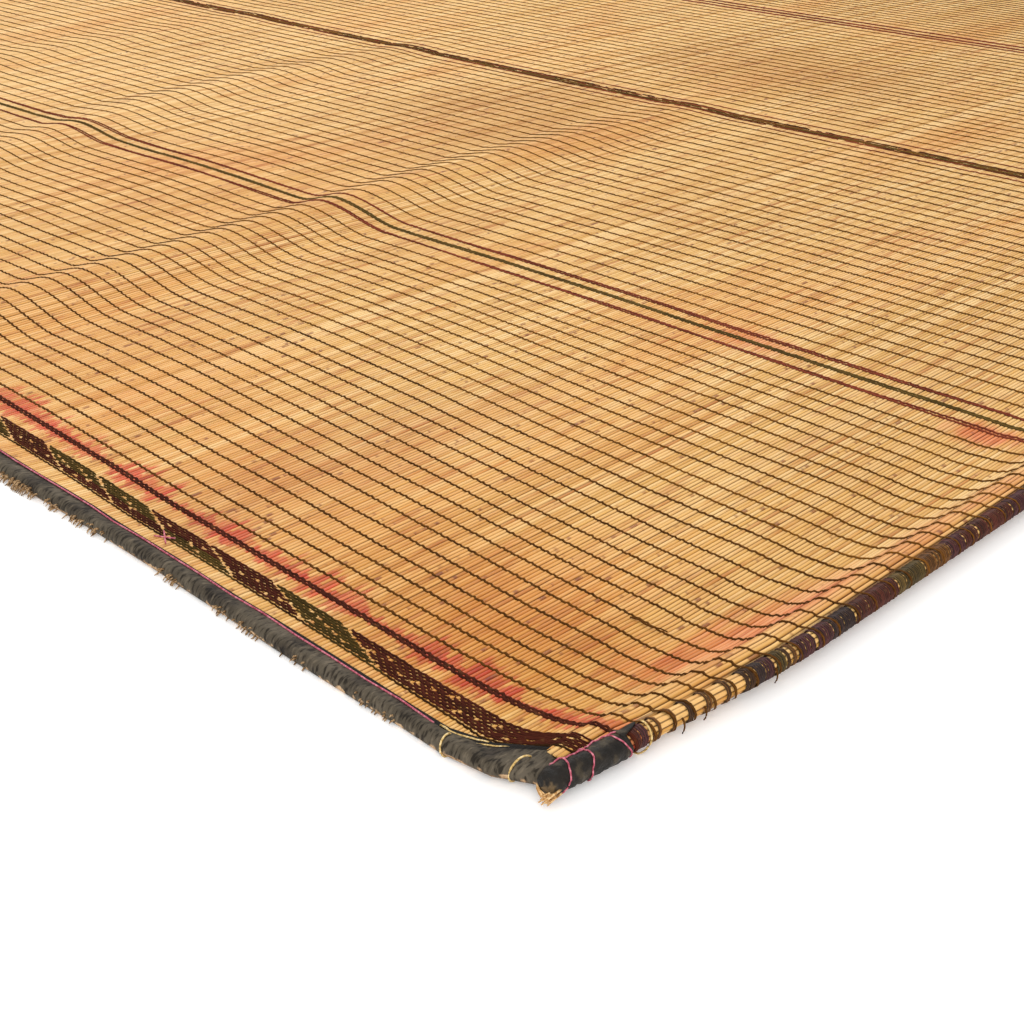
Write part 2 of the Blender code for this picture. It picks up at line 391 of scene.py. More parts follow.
@dataclass
class ReedLay:
    """How the reeds lie side by side on the mat's form, numbered from the left side."""

    form: MatForm
    pitch: float = 0.0031
    middle_height: float = 0.0015
    half_height: float = 0.00122
    unevenness: float = 0.00016
    hem_width: float = 0.0170
    hem_lift: float = 0.0007
    hem_step_drop: float = 0.0009
    hem_step_reach: float = 0.55
    rows_at_end: Row = (0.0, 0.009, 0.020, 0.032, 0.045, 0.062, 0.100, 0.155)
    row_step: float = 0.190
    run_stations: int = 3000
    seed: int = 5
    count: int = field(init=False)
    stretch: Array = field(init=False)
    stretch_x: Array = field(init=False)
    offsets: Array = field(init=False)
    rows: Array = field(init=False)

    def __post_init__(self) -> None:
        """Work out the run of the sheet to a side, each reed's own height, and the rings of a reed."""
        self.stretch_x = np.linspace(0.0, self.form.sheet_half_x, self.run_stations)
        rise = self.form.side_rise(self.form.sheet_half_x - self.stretch_x)
        steps = np.hypot(np.diff(self.stretch_x), np.diff(rise))
        self.stretch = np.concatenate([[0.0], np.cumsum(steps)])
        self.count = round(2 * self.stretch[-1] / self.pitch)
        self.pitch = 2 * self.stretch[-1] / self.count
        draw = np.random.default_rng(self.seed)
        self.offsets = self.unevenness * draw.uniform(-1.0, 1.0, self.count)
        half = self.form.sheet_half_y
        inner = half - self.rows_at_end[-1]
        middle = np.linspace(-inner, inner, math.ceil(2 * inner / self.row_step) + 1)
        ends = half - np.array(self.rows_at_end[:-1])
        self.rows = np.concatenate([-ends, middle, ends[::-1]])

    def x_of(self, number: Array) -> Array:
        """Place along the mat of a reed number, which may lie between two reeds."""
        run = (np.asarray(number) + 0.5 - self.count / 2) * self.pitch
        return np.copysign(np.interp(np.abs(run), self.stretch, self.stretch_x), run)

    def number_at(self, x: float) -> float:
        """Reed number at a place along the mat."""
        run = math.copysign(float(np.interp(abs(x), self.stretch_x, self.stretch)), x)
        return run / self.pitch - 0.5 + self.count / 2

    def base_height(self, number: Array) -> Array:
        """Height of each reed's middle above the sheet's underside.

        Args:
            number: reed numbers.

        Returns:
            The height at each reed, raised in the hem and pressed down beside it.
        """
        nearest = np.clip(np.rint(number), 0, self.count - 1).astype(int)
        from_side = (np.minimum(nearest, self.count - 1 - nearest) + 0.5) * self.pitch
        hem = self.hem_lift * (from_side < self.hem_width)
        from_hem = np.abs(from_side - self.hem_width - 0.5 * self.pitch)
        beside = self.hem_step_drop * (from_hem < self.hem_step_reach * self.pitch)
        return self.middle_height + self.offsets[nearest] + hem - beside

    def top_height(self, number: Array) -> Array:
        """Height of the reeds' crests above the sheet's underside."""
        return self.base_height(number) + self.half_height

    @property
    def crest_height(self) -> float:
        """Height of an even reed's crest above the sheet's underside."""
        return self.middle_height + self.half_height

    def on_reeds(self, x: Array, y: Array, height: Array) -> Array:
        """Place at a height above the underside, on the straight runs between the rings of a reed.

        Args:
            x: places along the undrawn rectangle.
            y: places across it.
            height: heights above the underside.

        Returns:
            One row of coordinates for each place.
        """
        index = np.clip(np.searchsorted(self.rows, y) - 1, 0, len(self.rows) - 2)
        low, high = self.rows[index], self.rows[index + 1]
        share = ((y - low) / (high - low))[..., None]
        return (1.0 - share) * self.form.place(x, low, height) + share * self.form.place(x, high, height)


class Bench:
    """The hand tools that every piece is made with."""

    @staticmethod
    def clear_selection() -> None:
        """Deselect everything, so that an operator acts on one piece only."""
        if bpy.context.object and bpy.context.object.mode != "OBJECT":
            bpy.ops.object.mode_set(mode="OBJECT")
        bpy.ops.object.select_all(action="DESELECT")

    @staticmethod
    def pick(piece: Piece) -> None:
        """Select one piece alone and make it the active one."""
        Bench.clear_selection()
        piece.select_set(True)
        bpy.context.view_layer.objects.active = piece

    @staticmethod
    def take(name: str) -> Piece:
        """Name the piece that was just added, and apply its place to its mesh.

        Args:
            name: the piece's name.

        Returns:
            The piece.
        """
        piece = bpy.context.object
        piece.name = name
        piece.data.name = name
        bpy.ops.object.transform_apply(location=True, rotation=True, scale=True)
        return piece

    @staticmethod
    def cut_along(piece: Piece, axis: int, cuts: int) -> None:
        """Cut the faces of a tube into rings, by subdividing its long edges.

        Args:
            piece: the tube.
            axis: the axis that it runs along.
            cuts: how many rings are cut.
        """
        places = Bench.points(piece)
        bpy.ops.object.mode_set(mode="EDIT")
        bpy.ops.mesh.select_mode(type="EDGE")
        bpy.ops.mesh.select_all(action="DESELECT")
        bpy.ops.object.mode_set(mode="OBJECT")
        for edge in piece.data.edges:
            first, second = edge.vertices
            edge.select = bool(abs(places[first, axis] - places[second, axis]) > SAME_PLACE)
        bpy.ops.object.mode_set(mode="EDIT")
        bpy.ops.mesh.subdivide(number_cuts=cuts)
        bpy.ops.object.mode_set(mode="OBJECT")

    @staticmethod
    def tube(
        name: str,
        sides: int,
        radius: float,
        length: float,
        cuts: int,
        axis: int = 1,
        spin: float = 0.0,
        open_ends: bool = False,
    ) -> Piece:
        """Model a straight tube along an axis, with rings cut into it.

        Args:
            name: the piece's name.
            sides: faces round it.
            radius: its radius.
            length: its length.
            cuts: how many rings are cut.
            axis: the axis that it runs along.
            spin: how far a tube along Y is turned round itself.
            open_ends: whether it has no end faces.

        Returns:
            The piece.
        """
        turns = ((0.0, math.pi / 2, 0.0), (math.pi / 2, spin, 0.0), (0.0, 0.0, 0.0))
        ends = "NOTHING" if open_ends else "NGON"
        Bench.clear_selection()
        bpy.ops.mesh.primitive_cylinder_add(
            vertices=sides, radius=radius, depth=length, end_fill_type=ends, rotation=turns[axis]
        )
        piece = Bench.take(name)
        if cuts > 0:
            Bench.cut_along(piece, axis, cuts)
        return piece

    @staticmethod
    def station(places: Array, length: float, steps: int) -> Array:
        """Number of the station that each place along a piece belongs to, from its low end."""
        return np.rint((places / length + 0.5) * steps).astype(int)

    @staticmethod
    def repeat(piece: Piece, count: int, offset: Place) -> None:
        """Copy a piece in a row as one mesh.

        Args:
            piece: the piece.
            count: how many there are in the end.
            offset: the step from one to the next.
        """
        row = piece.modifiers.new("row", "ARRAY")
        row.count = count
        row.use_relative_offset = False
        row.use_constant_offset = True
        row.constant_offset_displace = offset
        bpy.ops.object.modifier_apply(modifier=row.name)

    @staticmethod
    def points(piece: Piece) -> Array:
        """The places of a mesh's vertices, one row for each."""
        flat = np.empty(len(piece.data.vertices) * 3)
        piece.data.vertices.foreach_get("co", flat)
        return flat.reshape(-1, 3)

    @staticmethod
    def move_points(piece: Piece, places: Array) -> None:
        """Give a mesh's vertices new places."""
        piece.data.vertices.foreach_set("co", np.ascontiguousarray(places, dtype=np.float32).ravel())
        piece.data.update()

    @staticmethod
    def note(piece: Piece, name: str, kind: str, values: Array) -> None:
        """Write a value at each vertex for a material to read.

        Args:
            piece: the piece.
            name: the attribute's name.
            kind: FLOAT, FLOAT_VECTOR or FLOAT_COLOR.
            values: one value or row for each vertex.
        """
        attribute = piece.data.attributes.new(name, kind, "POINT")
        key = {"FLOAT": "value", "FLOAT_VECTOR": "vector", "FLOAT_COLOR": "color"}[kind]
        attribute.data.foreach_set(key, np.ascontiguousarray(values, dtype=np.float32).ravel())

    @staticmethod
    def face_outwards(piece: Piece, flip: bool = False) -> None:
        """Turn the faces of a closed piece outwards, or flip those of an open one.

        Args:
            piece: the piece.
            flip: whether the faces are flipped as they are.
        """
        Bench.pick(piece)
        bpy.ops.object.mode_set(mode="EDIT")
        bpy.ops.mesh.select_all(action="SELECT")
        if flip:
            bpy.ops.mesh.flip_normals()
        else:
            bpy.ops.mesh.normals_make_consistent(inside=False)
        bpy.ops.object.mode_set(mode="OBJECT")

    @staticmethod
    def strip_row(
        name: str, strips: int, spacing: float, length: float, width: float, steps: int, across: int
    ) -> tuple[Piece, Array, Array, Array]:
        """Lay out flat strips side by side at their real length and width.

        Args:
            name: the piece's name.
            strips: how many strips there are.
            spacing: distance from one strip to the next.
            length: their length along X.
            width: their width.
            steps: faces along a strip.
            across: faces across a strip.

        Returns:
            The piece, and the strip, step and line across of each vertex.
        """
        Bench.clear_selection()
        bpy.ops.mesh.primitive_grid_add(x_subdivisions=steps, y_subdivisions=across, size=length)
        bpy.ops.object.mode_set(mode="EDIT")
        bpy.ops.mesh.select_all(action="SELECT")
        bpy.ops.transform.resize(value=(1.0, width / length, 1.0))
        bpy.ops.object.mode_set(mode="OBJECT")
        piece = Bench.take(name)
        Bench.repeat(piece, strips, (0.0, spacing, 0.0))
        places = Bench.points(piece)
        strip = np.rint(places[:, 1] / spacing).astype(int)
        step = Bench.station(places[:, 0], length, steps)
        line = Bench.station(places[:, 1] - strip * spacing, width, across)
        return piece, strip, step, line

    @staticmethod
    def strands(
        name: str, routes: Sequence[Sequence[Place]], thickness: float, taper: float = 1.0, sides: int = 6
    ) -> Piece:
        """Model one straight strand, copy it for every route, and lay each copy along its own route.

        Args:
            name: the piece's name.
            routes: for each strand the points that it follows.
            thickness: its diameter.
            taper: its thickness at the far end, as a share of that.
            sides: faces round a strand.

        Returns:
            The strands as one piece.
        """
        rings = max(len(route) for route in routes)
        lines = np.zeros((len(routes), rings, 3))
        for index, route in enumerate(routes):
            points = np.array(route, dtype=float)
            share = np.linspace(0.0, len(points) - 1.0, rings)
            for axis in range(3):
                lines[index, :, axis] = np.interp(share, np.arange(len(points)), points[:, axis])
        length = 0.01
        piece = Bench.tube(name, sides, thickness / 2, length, rings - 2, axis=2)
        apart = 3.0 * thickness
        Bench.repeat(piece, len(routes), (apart, 0.0, 0.0))
        flat = Bench.points(piece)
        which = np.rint(flat[:, 0] / apart).astype(int)
        ring = Bench.station(flat[:, 2], length, rings - 1)
        tangent = np.gradient(lines, axis=1)
        tangent /= np.linalg.norm(tangent, axis=-1, keepdims=True) + NO_LENGTH
        upright = np.abs(tangent[..., 2:3]) > 0.9
        guide = np.where(upright, np.array([1.0, 0.0, 0.0]), np.array([0.0, 0.0, 1.0]))
        first = np.cross(guide, tangent)
        first /= np.linalg.norm(first, axis=-1, keepdims=True) + NO_LENGTH
        second = np.cross(tangent, first)
        size = 1.0 + (taper - 1.0) * ring / (rings - 1)
        out_x = ((flat[:, 0] - which * apart) * size)[:, None]
        out_y = (flat[:, 1] * size)[:, None]
        places = lines[which, ring] + out_x * first[which, ring] + out_y * second[which, ring]
        Bench.move_points(piece, places)
        return piece

    @staticmethod
    def dress(piece: Piece, material: Material, slot: str, nodes: Sequence[str] = ()) -> None:
        """Give a finished piece its material and its place in the frame.

        Args:
            piece: the piece.
            material: its material.
            slot: not used.
            nodes: the solids of the frame that it stands for.
        """
        Bench.pick(piece)
        bpy.ops.object.shade_smooth()
        piece.data.materials.clear()
        piece.data.materials.append(material)
        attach(piece, "root")
        if nodes:
            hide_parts(*nodes)
        triangles = sum(len(face.vertices) - 2 for face in piece.data.polygons)
        LOG.info("%s: %d triangles", piece.name, triangles)


@dataclass
class Shading:
    """A material in the making, and the kinds of node that the finishes are laid with."""

    material: Material
    shader: Any

    def add(self, kind: str, inputs: dict[Any, Any] | None = None, output: Any = 0, **settings: Any) -> Any:
        """Add a shader node with its settings and links.

        Args:
            kind: the node's type.
            inputs: a value or a socket for each input, by name or number.
            output: the output to return, by name or number.
            settings: properties of the node; ramp is a row of positions and hex codes.

        Returns:
            The output socket, or the node itself where output is None.
        """
        tree = self.material.node_tree
        node = tree.nodes.new(kind)
        ramp = settings.pop("ramp", None)
        for name, value in settings.items():
            setattr(node, name, value)
        if ramp:
            elements = node.color_ramp.elements
            while len(elements) < len(ramp):
                elements.new(0.5)
            for element, (position, code) in zip(elements, ramp):
                element.position = position
                element.color = linear_colour(code)
        for key, value in (inputs or {}).items():
            if isinstance(value, bpy.types.NodeSocket):
                tree.links.new(value, node.inputs[key])
            else:
                node.inputs[key].default_value = value
        return node if output is None else node.outputs[output]

    def noise(self, place: Any, scale: float, detail: float, **inputs: Any) -> Any:
        """Draw a cloudy pattern at a place."""
        return self.add("ShaderNodeTexNoise", {"Vector": place, "Scale": scale, "Detail": detail, **inputs})

    def tinted(self, value: Any, *ramp: tuple[float, str]) -> Any:
        """Turn a number into a colour by a ramp of positions and hex codes."""
        return self.add("ShaderNodeValToRGB", {0: value}, ramp=ramp)

    def vector(self, *parts: Any) -> Any:
        """Join up to three numbers into a vector."""
        return self.add("ShaderNodeCombineXYZ", dict(enumerate(parts)))

    def vector_maths(self, place: Any, operation: str, by: Place) -> Any:
        """Work out a vector from a place and a fixed vector."""
        return self.add("ShaderNodeVectorMath", {0: place, 1: by}, operation=operation)

    def noted(self, name: str, output: str = "Fac") -> Any:
        """Read a value that the piece carries at its points."""
        return self.add("ShaderNodeAttribute", output=output, attribute_name=name)

    def own_place(self) -> Any:
        """Read the place in the piece's own frame, in metres."""
        return self.add("ShaderNodeTexCoord", output="Object")

    def maths(self, operation: str, *values: Any) -> Any:
        """Work out a number from one to three values."""
        return self.add("ShaderNodeMath", dict(enumerate(values)), operation=operation)

    def fade(self, value: Any, start: float, end: float, low: float = 0.0, high: float = 1.0) -> Any:
        """Go smoothly from low at start to high at end."""
        inputs = {0: value, 1: start, 2: end, 3: low, 4: high}
        return self.add("ShaderNodeMapRange", inputs, interpolation_type="SMOOTHSTEP")

    def blend(self, factor: Any, first: Any, second: Any, way: str = "MIX") -> Any:
        """Mix two colours by a blend type, the factor being the share of the second."""
        inputs = {0: factor, 6: first, 7: second}
        return self.add("ShaderNodeMix", inputs, output=2, data_type="RGBA", blend_type=way)

    def link(self, socket: Any, name: str) -> None:
        """Lead a socket into one of the shader's inputs."""
        self.material.node_tree.links.new(socket, self.shader.inputs[name])

    def finish(self, colour: Any, strength: float, depth: float, height: Any) -> None:
        """Give the shader its colour, and a bump of a depth in metres that follows a height."""
        self.link(colour, "Base Color")
        inputs = {"Strength": strength, "Distance": depth, "Height": height}
        self.link(self.add("ShaderNodeBump", inputs), "Normal")


@dataclass(frozen=True)
class Finish:
    """A material with its Principled shader, ready for its colour and bump."""

    name: str
    roughness: float = 0.6
    specular: float = 0.5

    def start(self) -> Shading:
        """Make the material.

        Returns:
            The material, ready for its nodes.
        """
        material = bpy.data.materials.new(self.name)
        material.use_nodes = True
        shader = material.node_tree.nodes["Principled BSDF"]
        shader.inputs["Roughness"].default_value = self.roughness
        shader.inputs["Specular IOR Level"].default_value = self.specular
        shader.inputs["IOR"].default_value = 1.5
        return Shading(material, shader)


@dataclass(frozen=True)
class Stain:
    """A soft patch of another tint on the reeds, placed in the mat's own frame."""

    colour: str
    x: float
    y: float
    half_x: float
    half_y: float
    strength: float


@dataclass(frozen=True)
class ReedFinish(Finish):
    """Dried reed stalks: split-free golden straw with a waxy skin, brown joints and long streaks.

    The skin gives each stalk a satin line of light along its crest. Stalks are 3 mm wide, their joints lie
    about 160 mm apart, and the fibres of 0.3 mm are drawn twice as coarse so that they show.
    """

    joint_spacing: float = 0.160
    stalk_width: float = 0.0031
    fibre_spacing: float = 0.0006
    dye_lines: Row = (0.0604, 2.2146)
    dye: str = "#E24A38"
    stains: tuple[Stain, ...] = ()

    def make(self) -> Material:
        """Build the material.

        Returns:
            The material.
        """
        nodes = self.start()
        place = nodes.noted("reed_place", "Vector")
        parts = nodes.add("ShaderNodeSeparateXYZ", {0: place}, output=None)
        number, run, side = parts.outputs
        chance = nodes.add("ShaderNodeTexWhiteNoise", {"W": number}, output=None, noise_dimensions="1D")
        chances = nodes.add("ShaderNodeSeparateColor", {0: chance.outputs["Color"]}, output=None).outputs
        ramp = ((0.0, "#C9984A"), (0.25, "#DBAD62"), (0.5, "#E1B673"), (0.75, "#E9C68A"), (1.0, "#DBAA58"))
        colour = nodes.tinted(chance.outputs["Value"], *ramp)
        colour = self.add_streaks(nodes, colour, number, run)
        colour = self.add_stains(nodes, colour)
        colour = self.add_dye(nodes, colour, number, run, chances)
        colour, joint = self.add_joints(nodes, colour, number, run, chances)
        # Painted shade: each stalk's flanks are darkened towards the gaps between stalks, unevenly along
        # them.
        painted_gap_shade = nodes.fade(nodes.maths("ABSOLUTE", side), 0.55, 1.0, 0.0, 1.0)
        gap_shade_place = nodes.vector(nodes.maths("MULTIPLY", number, 7.3), run)
        gap = nodes.noise(gap_shade_place, 24.0, 2.0)
        painted_gap_shade = nodes.maths("MULTIPLY", painted_gap_shade, nodes.fade(gap, 0.34, 0.62, 0.35, 1.0))
        colour = nodes.blend(painted_gap_shade, colour, linear_colour("#5C2E06"), "MULTIPLY")
        fibre_place = nodes.vector(number, nodes.maths("MULTIPLY", run, 6.0), side)
        fibres = nodes.noise(fibre_place, self.stalk_width / self.fibre_spacing, 2.0)
        height = nodes.maths("MULTIPLY_ADD", joint, 1.4, fibres)
        nodes.finish(colour, 0.35, 0.0004, height)
        rough = nodes.fade(fibres, 0.3, 0.7, self.roughness - 0.08, self.roughness + 0.10)
        nodes.link(rough, "Roughness")
        return nodes.material

    def add_streaks(self, nodes: Shading, colour: Any, number: Any, run: Any) -> Any:
        """Darken and lighten each stalk in long streaks, and fleck it with short brown dashes.

        Args:
            nodes: the material's nodes.
            colour: the colour so far.
            number: the stalk's number.
            run: the place along it.

        Returns:
            The new colour.
        """
        apart = nodes.maths("MULTIPLY", number, 37.7)
        place = nodes.vector(apart, run)
        long_streak = nodes.noise(place, 11.0, 4.0)
        ramp = ((0.30, "#D2A468"), (0.46, "#FFFFFF"), (0.60, "#FFFFFF"), (0.74, "#E3BE88"))
        colour = nodes.blend(0.8, colour, nodes.tinted(long_streak, *ramp), "MULTIPLY")
        short = nodes.noise(place, 70.0, 2.0)
        fleck = nodes.fade(short, 0.66, 0.74, 0.0, 0.85)
        return nodes.blend(fleck, colour, linear_colour("#9A6A30"), "MULTIPLY")

    def add_stains(self, nodes: Shading, colour: Any) -> Any:
        """Lay the soft patches over the stalks, ragged from stalk to stalk.

        Args:
            nodes: the material's nodes.
            colour: the colour so far.

        Returns:
            The new colour.
        """
        place = nodes.own_place()
        cloud = nodes.noise(nodes.vector_maths(place, "MULTIPLY", (1.0, 0.35, 0.0)), 6.0, 4.0)
        ragged = nodes.noise(nodes.vector_maths(place, "MULTIPLY", (1.0, 0.12, 0.0)), 110.0, 3.0)
        tint = nodes.tinted(cloud, (0.32, "#F2CE9A"), (0.5, "#FFFFFF"), (0.68, "#EBDDC4"))
        colour = nodes.blend(0.6, colour, tint, "MULTIPLY")
        for stain in self.stains:
            shift = nodes.vector_maths(place, "SUBTRACT", (stain.x, stain.y, 0.0))
            size = (1.0 / stain.half_x, 1.0 / stain.half_y, 0.0)
            scaled = nodes.vector_maths(shift, "MULTIPLY", size)
            away = nodes.add("ShaderNodeVectorMath", {0: scaled}, output="Value", operation="LENGTH")
            uneven = nodes.maths("MULTIPLY_ADD", ragged, 1.2, -0.6)
            distance = nodes.maths("ADD", away, uneven)
            cover = nodes.fade(distance, 0.15, 1.15, stain.strength, 0.0)
            colour = nodes.blend(cover, colour, linear_colour(stain.colour), "MULTIPLY")
        return colour

    def add_dye(self, nodes: Shading, colour: Any, number: Any, run: Any, chances: Any) -> Any:
        """Let red dye bleed along the stalks, out of the burgundy thongs.

        Args:
            nodes: the material's nodes.
            colour: the colour so far.
            number: the stalk's number.
            run: the place along it.
            chances: three chance values of the stalk.

        Returns:
            The new colour.
        """
        vector = {"W": number, "Scale": 0.045, "Detail": 1.0}
        patch = nodes.add("ShaderNodeTexNoise", vector, noise_dimensions="1D")
        patchy = nodes.fade(patch, 0.34, 0.54, 0.34, 1.0)
        own = nodes.maths("POWER", chances[1], 1.4)
        reach = nodes.maths("MULTIPLY", patchy, nodes.maths("MULTIPLY_ADD", own, 0.021, 0.005))
        for line, out in zip(self.dye_lines, (1.0, -1.0)):
            away = nodes.maths("MULTIPLY", nodes.maths("SUBTRACT", run, line), out)
            inner = nodes.maths("MAXIMUM", away, 0.0)
            outer = nodes.maths("MULTIPLY", nodes.maths("MINIMUM", away, 0.0), -1.5)
            share = nodes.maths("DIVIDE", nodes.maths("ADD", inner, outer), reach)
            most = nodes.maths("MULTIPLY_ADD", chances[2], 0.45, 0.50)
            cover = nodes.maths("MULTIPLY", nodes.fade(share, 0.75, 1.10, 1.0, 0.0), most)
            colour = nodes.blend(cover, colour, linear_colour(self.dye), "MULTIPLY")
        return colour

    def add_joints(self, nodes: Shading, colour: Any, number: Any, run: Any, chances: Any) -> tuple[Any, Any]:
        """Draw the brown joints of the stalks, and the duller stretch beyond some of them.

        Args:
            nodes: the material's nodes.
            colour: the colour so far.
            number: the stalk's number.
            run: the place along it.
            chances: three chance values of the stalk.

        Returns:
            The new colour, and how far a place is on a joint.
        """
        shift = nodes.maths("MULTIPLY", chances[0], 9.0)
        along = nodes.maths("MULTIPLY_ADD", run, 1.0 / self.joint_spacing, shift)
        cell = nodes.maths("FLOOR", along)
        share = nodes.maths("FRACT", along)
        place = nodes.vector(number, cell)
        pick = nodes.add("ShaderNodeTexWhiteNoise", {"Vector": place}, noise_dimensions="2D")
        shown = nodes.fade(pick, 0.70, 1.0, 0.0, 0.8)
        joint = nodes.maths("MULTIPLY", nodes.fade(share, 0.004, 0.018, 0.9, 0.0), shown)
        dull = nodes.maths("MULTIPLY", nodes.fade(share, 0.02, 0.22, 0.40, 0.0), shown)
        colour = nodes.blend(dull, colour, linear_colour("#C08A4A"), "MULTIPLY")
        colour = nodes.blend(joint, colour, linear_colour("#A06E36"), "MULTIPLY")
        return colour, joint


@dataclass(frozen=True)
class ThongFinish(Finish):
    """Goat leather cut in narrow thongs and waxed: dark, with worn lighter edges and a low sheen."""

    grain: float = 0.0012

    def make(self) -> Material:
        """Build the material, whose colour, with any painted shade and highlights, each thong carries along
        itself.

        Returns:
            The material.
        """
        nodes = self.start()
        grain = nodes.noise(nodes.own_place(), 0.25 / self.grain, 3.0)
        wear = nodes.fade(grain, 0.55, 0.80, 0.0, 0.30)
        colour = nodes.blend(wear, nodes.noted("thong_dye_and_painted_shade", "Color"), linear_colour("#7A5A34"))
        nodes.finish(colour, 0.4, 0.0003, grain)
        return nodes.material


@dataclass(frozen=True)
class RollFinish(Finish):
    """Undyed goatskin, greyed by use: dull, finely creased on the slant, rubbed through to brown fibre below.

    The creases lie about 1.5 mm apart and are drawn at that size.
    """

    skin: str = "#4C4438"
    worn: str = "#8C6C4C"
    crease: float = 0.0015

    def make(self) -> Material:
        """Build the material.

        Returns:
            The material.
        """
        nodes = self.start()
        place = nodes.own_place()
        slanted = {"Vector": place, "Scale": (1.0, 0.30, 0.30), "Rotation": (0.0, 0.0, 0.6)}
        slant = nodes.add("ShaderNodeMapping", slanted)
        creases = nodes.noise(slant, 0.80 / self.crease, 4.0, Distortion=0.3)
        clouds = nodes.noise(place, 45.0, 5.0)
        colour = nodes.tinted(clouds, (0.3, "#332C25"), (0.5, self.skin), (0.72, "#5E5548"))
        # Painted shade in the hollows of the creases and a painted highlight on their ridges.
        shade = nodes.fade(creases, 0.34, 0.52, 0.85, 0.0)
        colour = nodes.blend(shade, colour, linear_colour("#5E564C"), "MULTIPLY")
        light = nodes.fade(creases, 0.55, 0.72, 0.0, 0.28)
        colour = nodes.blend(light, colour, linear_colour("#8A7C68"))
        fibre = nodes.noise(place, 210.0, 4.0)
        uneven = nodes.maths("MULTIPLY_ADD", fibre, 1.6, -0.8)
        cover = nodes.maths("ADD", nodes.noted("wear"), uneven)
        rubbed = nodes.fade(cover, 0.44, 0.66)
        brown = nodes.tinted(fibre, (0.35, "#5A3F27"), (0.5, self.worn), (0.68, "#C0A07C"))
        colour = nodes.blend(rubbed, colour, brown)
        colour = nodes.blend(nodes.noted("edge"), colour, linear_colour("#0E0906"))
        height = nodes.maths("MULTIPLY_ADD", rubbed, -0.25, creases)
        nodes.finish(colour, 1.0, 0.0008, height)
        return nodes.material


@dataclass(frozen=True)
class CapFinish(Finish):
    """Black tanned goatskin pulled tight while wet: darker, smoother and a little shinier than the roll."""

    tone: str = "#211C17"
    rubbed: str = "#4C4232"

    def make(self) -> Material:
        """Build the material.

        Returns:
            The material.
        """
        nodes = self.start()
        place = nodes.own_place()
        pores = nodes.noise(place, 420.0, 4.0)
        clouds = nodes.noise(place, 110.0, 5.0)
        colour = nodes.tinted(clouds, (0.35, "#14110E"), (0.52, self.tone), (0.68, self.rubbed))
        uneven = nodes.maths("MULTIPLY_ADD", pores, 0.9, -0.45)
        cover = nodes.maths("ADD", nodes.noted("wear"), uneven)
        colour = nodes.blend(nodes.fade(cover, 0.45, 0.75), colour, linear_colour("#5E4C34"))
        height = nodes.maths("MULTIPLY_ADD", clouds, 1.5, pores)
        nodes.finish(colour, 0.9, 0.0010, height)
        return nodes.material


@dataclass(frozen=True)
class FibreFinish(Finish):
    """Spun thread, raffia or straw: matt fibre whose tone changes every few millimetres."""

    dark: str = "#8C3440"
    middle: str = "#B8566A"
    light: str = "#D68C96"
    fleck: float = 0.0016

    def make(self) -> Material:
        """Build the material.

        Returns:
            The material.
        """
        nodes = self.start()
        fleck = nodes.noise(nodes.own_place(), 1.0 / self.fleck, 3.0)
        colour = nodes.tinted(fleck, (0.32, self.dark), (0.5, self.middle), (0.68, self.light))
        nodes.finish(colour, 0.5, 0.0003, fleck)
        return nodes.material


@dataclass(frozen=True)
class ThongBend:
    """How the thongs depart from straight lines, by their distance from the near end and by x."""

    drift: Curve = Curve(
        (0.0, 0.055, 0.0746, 0.0884, 0.1027, 0.1179, 0.2016, 0.312, 0.542, 0.694),
        (0.0078, 0.0078, 0.0074, 0.0108, 0.0138, 0.0159, 0.0184, 0.0184, 0.0083, 0.0),
    )
    drift_run: Span = (1.008, 1.560)
    sag: Curve = Curve((0.95, 1.10, 1.24, 1.36, 1.45, 1.50), (0.0, 0.0030, 0.0036, 0.0046, 0.0062, 0.0054))
    sag_share: Curve = Curve((0.020, 0.046, 0.058, 0.240, 0.360), (0.20, 0.50, 1.0, 1.0, 0.0))
    side_sag: Curve = Curve(
        (0.030, 0.070, 0.100, 0.120, 0.150, 0.350, 0.550), (0.0, 0.003, 0.004, 0.007, 0.008, 0.007, 0.0)
    )
    side_run: Span = (1.490, 1.560)
    pull: Curve = Curve((0.058, 0.075, 0.090, 0.120), (0.0062, 0.0045, 0.0033, 0.0))
    pull_share: Curve = Curve((0.97, 1.12, 1.20), (1.0, 0.55, 0.0))

    def sag_at(self, at: Array, x: Array) -> Array:
        """How far a thong sags towards the near end, between the middle and the right side.

        Left of there the border's thongs are pulled the other way.

        Args:
            at: distances from the near end at the right side.
            x: places along the mat.

        Returns:
            The sag at each place.
        """
        near_side = ease(*self.side_run, x)
        inner = self.sag.at(x) * self.sag_share.at(at)
        pulled = self.pull.at(at) * self.pull_share.at(x)
        return inner * (1.0 - near_side) + self.side_sag.at(at) * near_side - pulled

    def shift(self, at: Array, x: Array) -> Array:
        """How far a thong lies from its distance at the right side, away from the near end."""
        return self.drift.at(at) * (1.0 - ease(*self.drift_run, x)) - self.sag_at(at, x)


THONG_BEND = ThongBend()


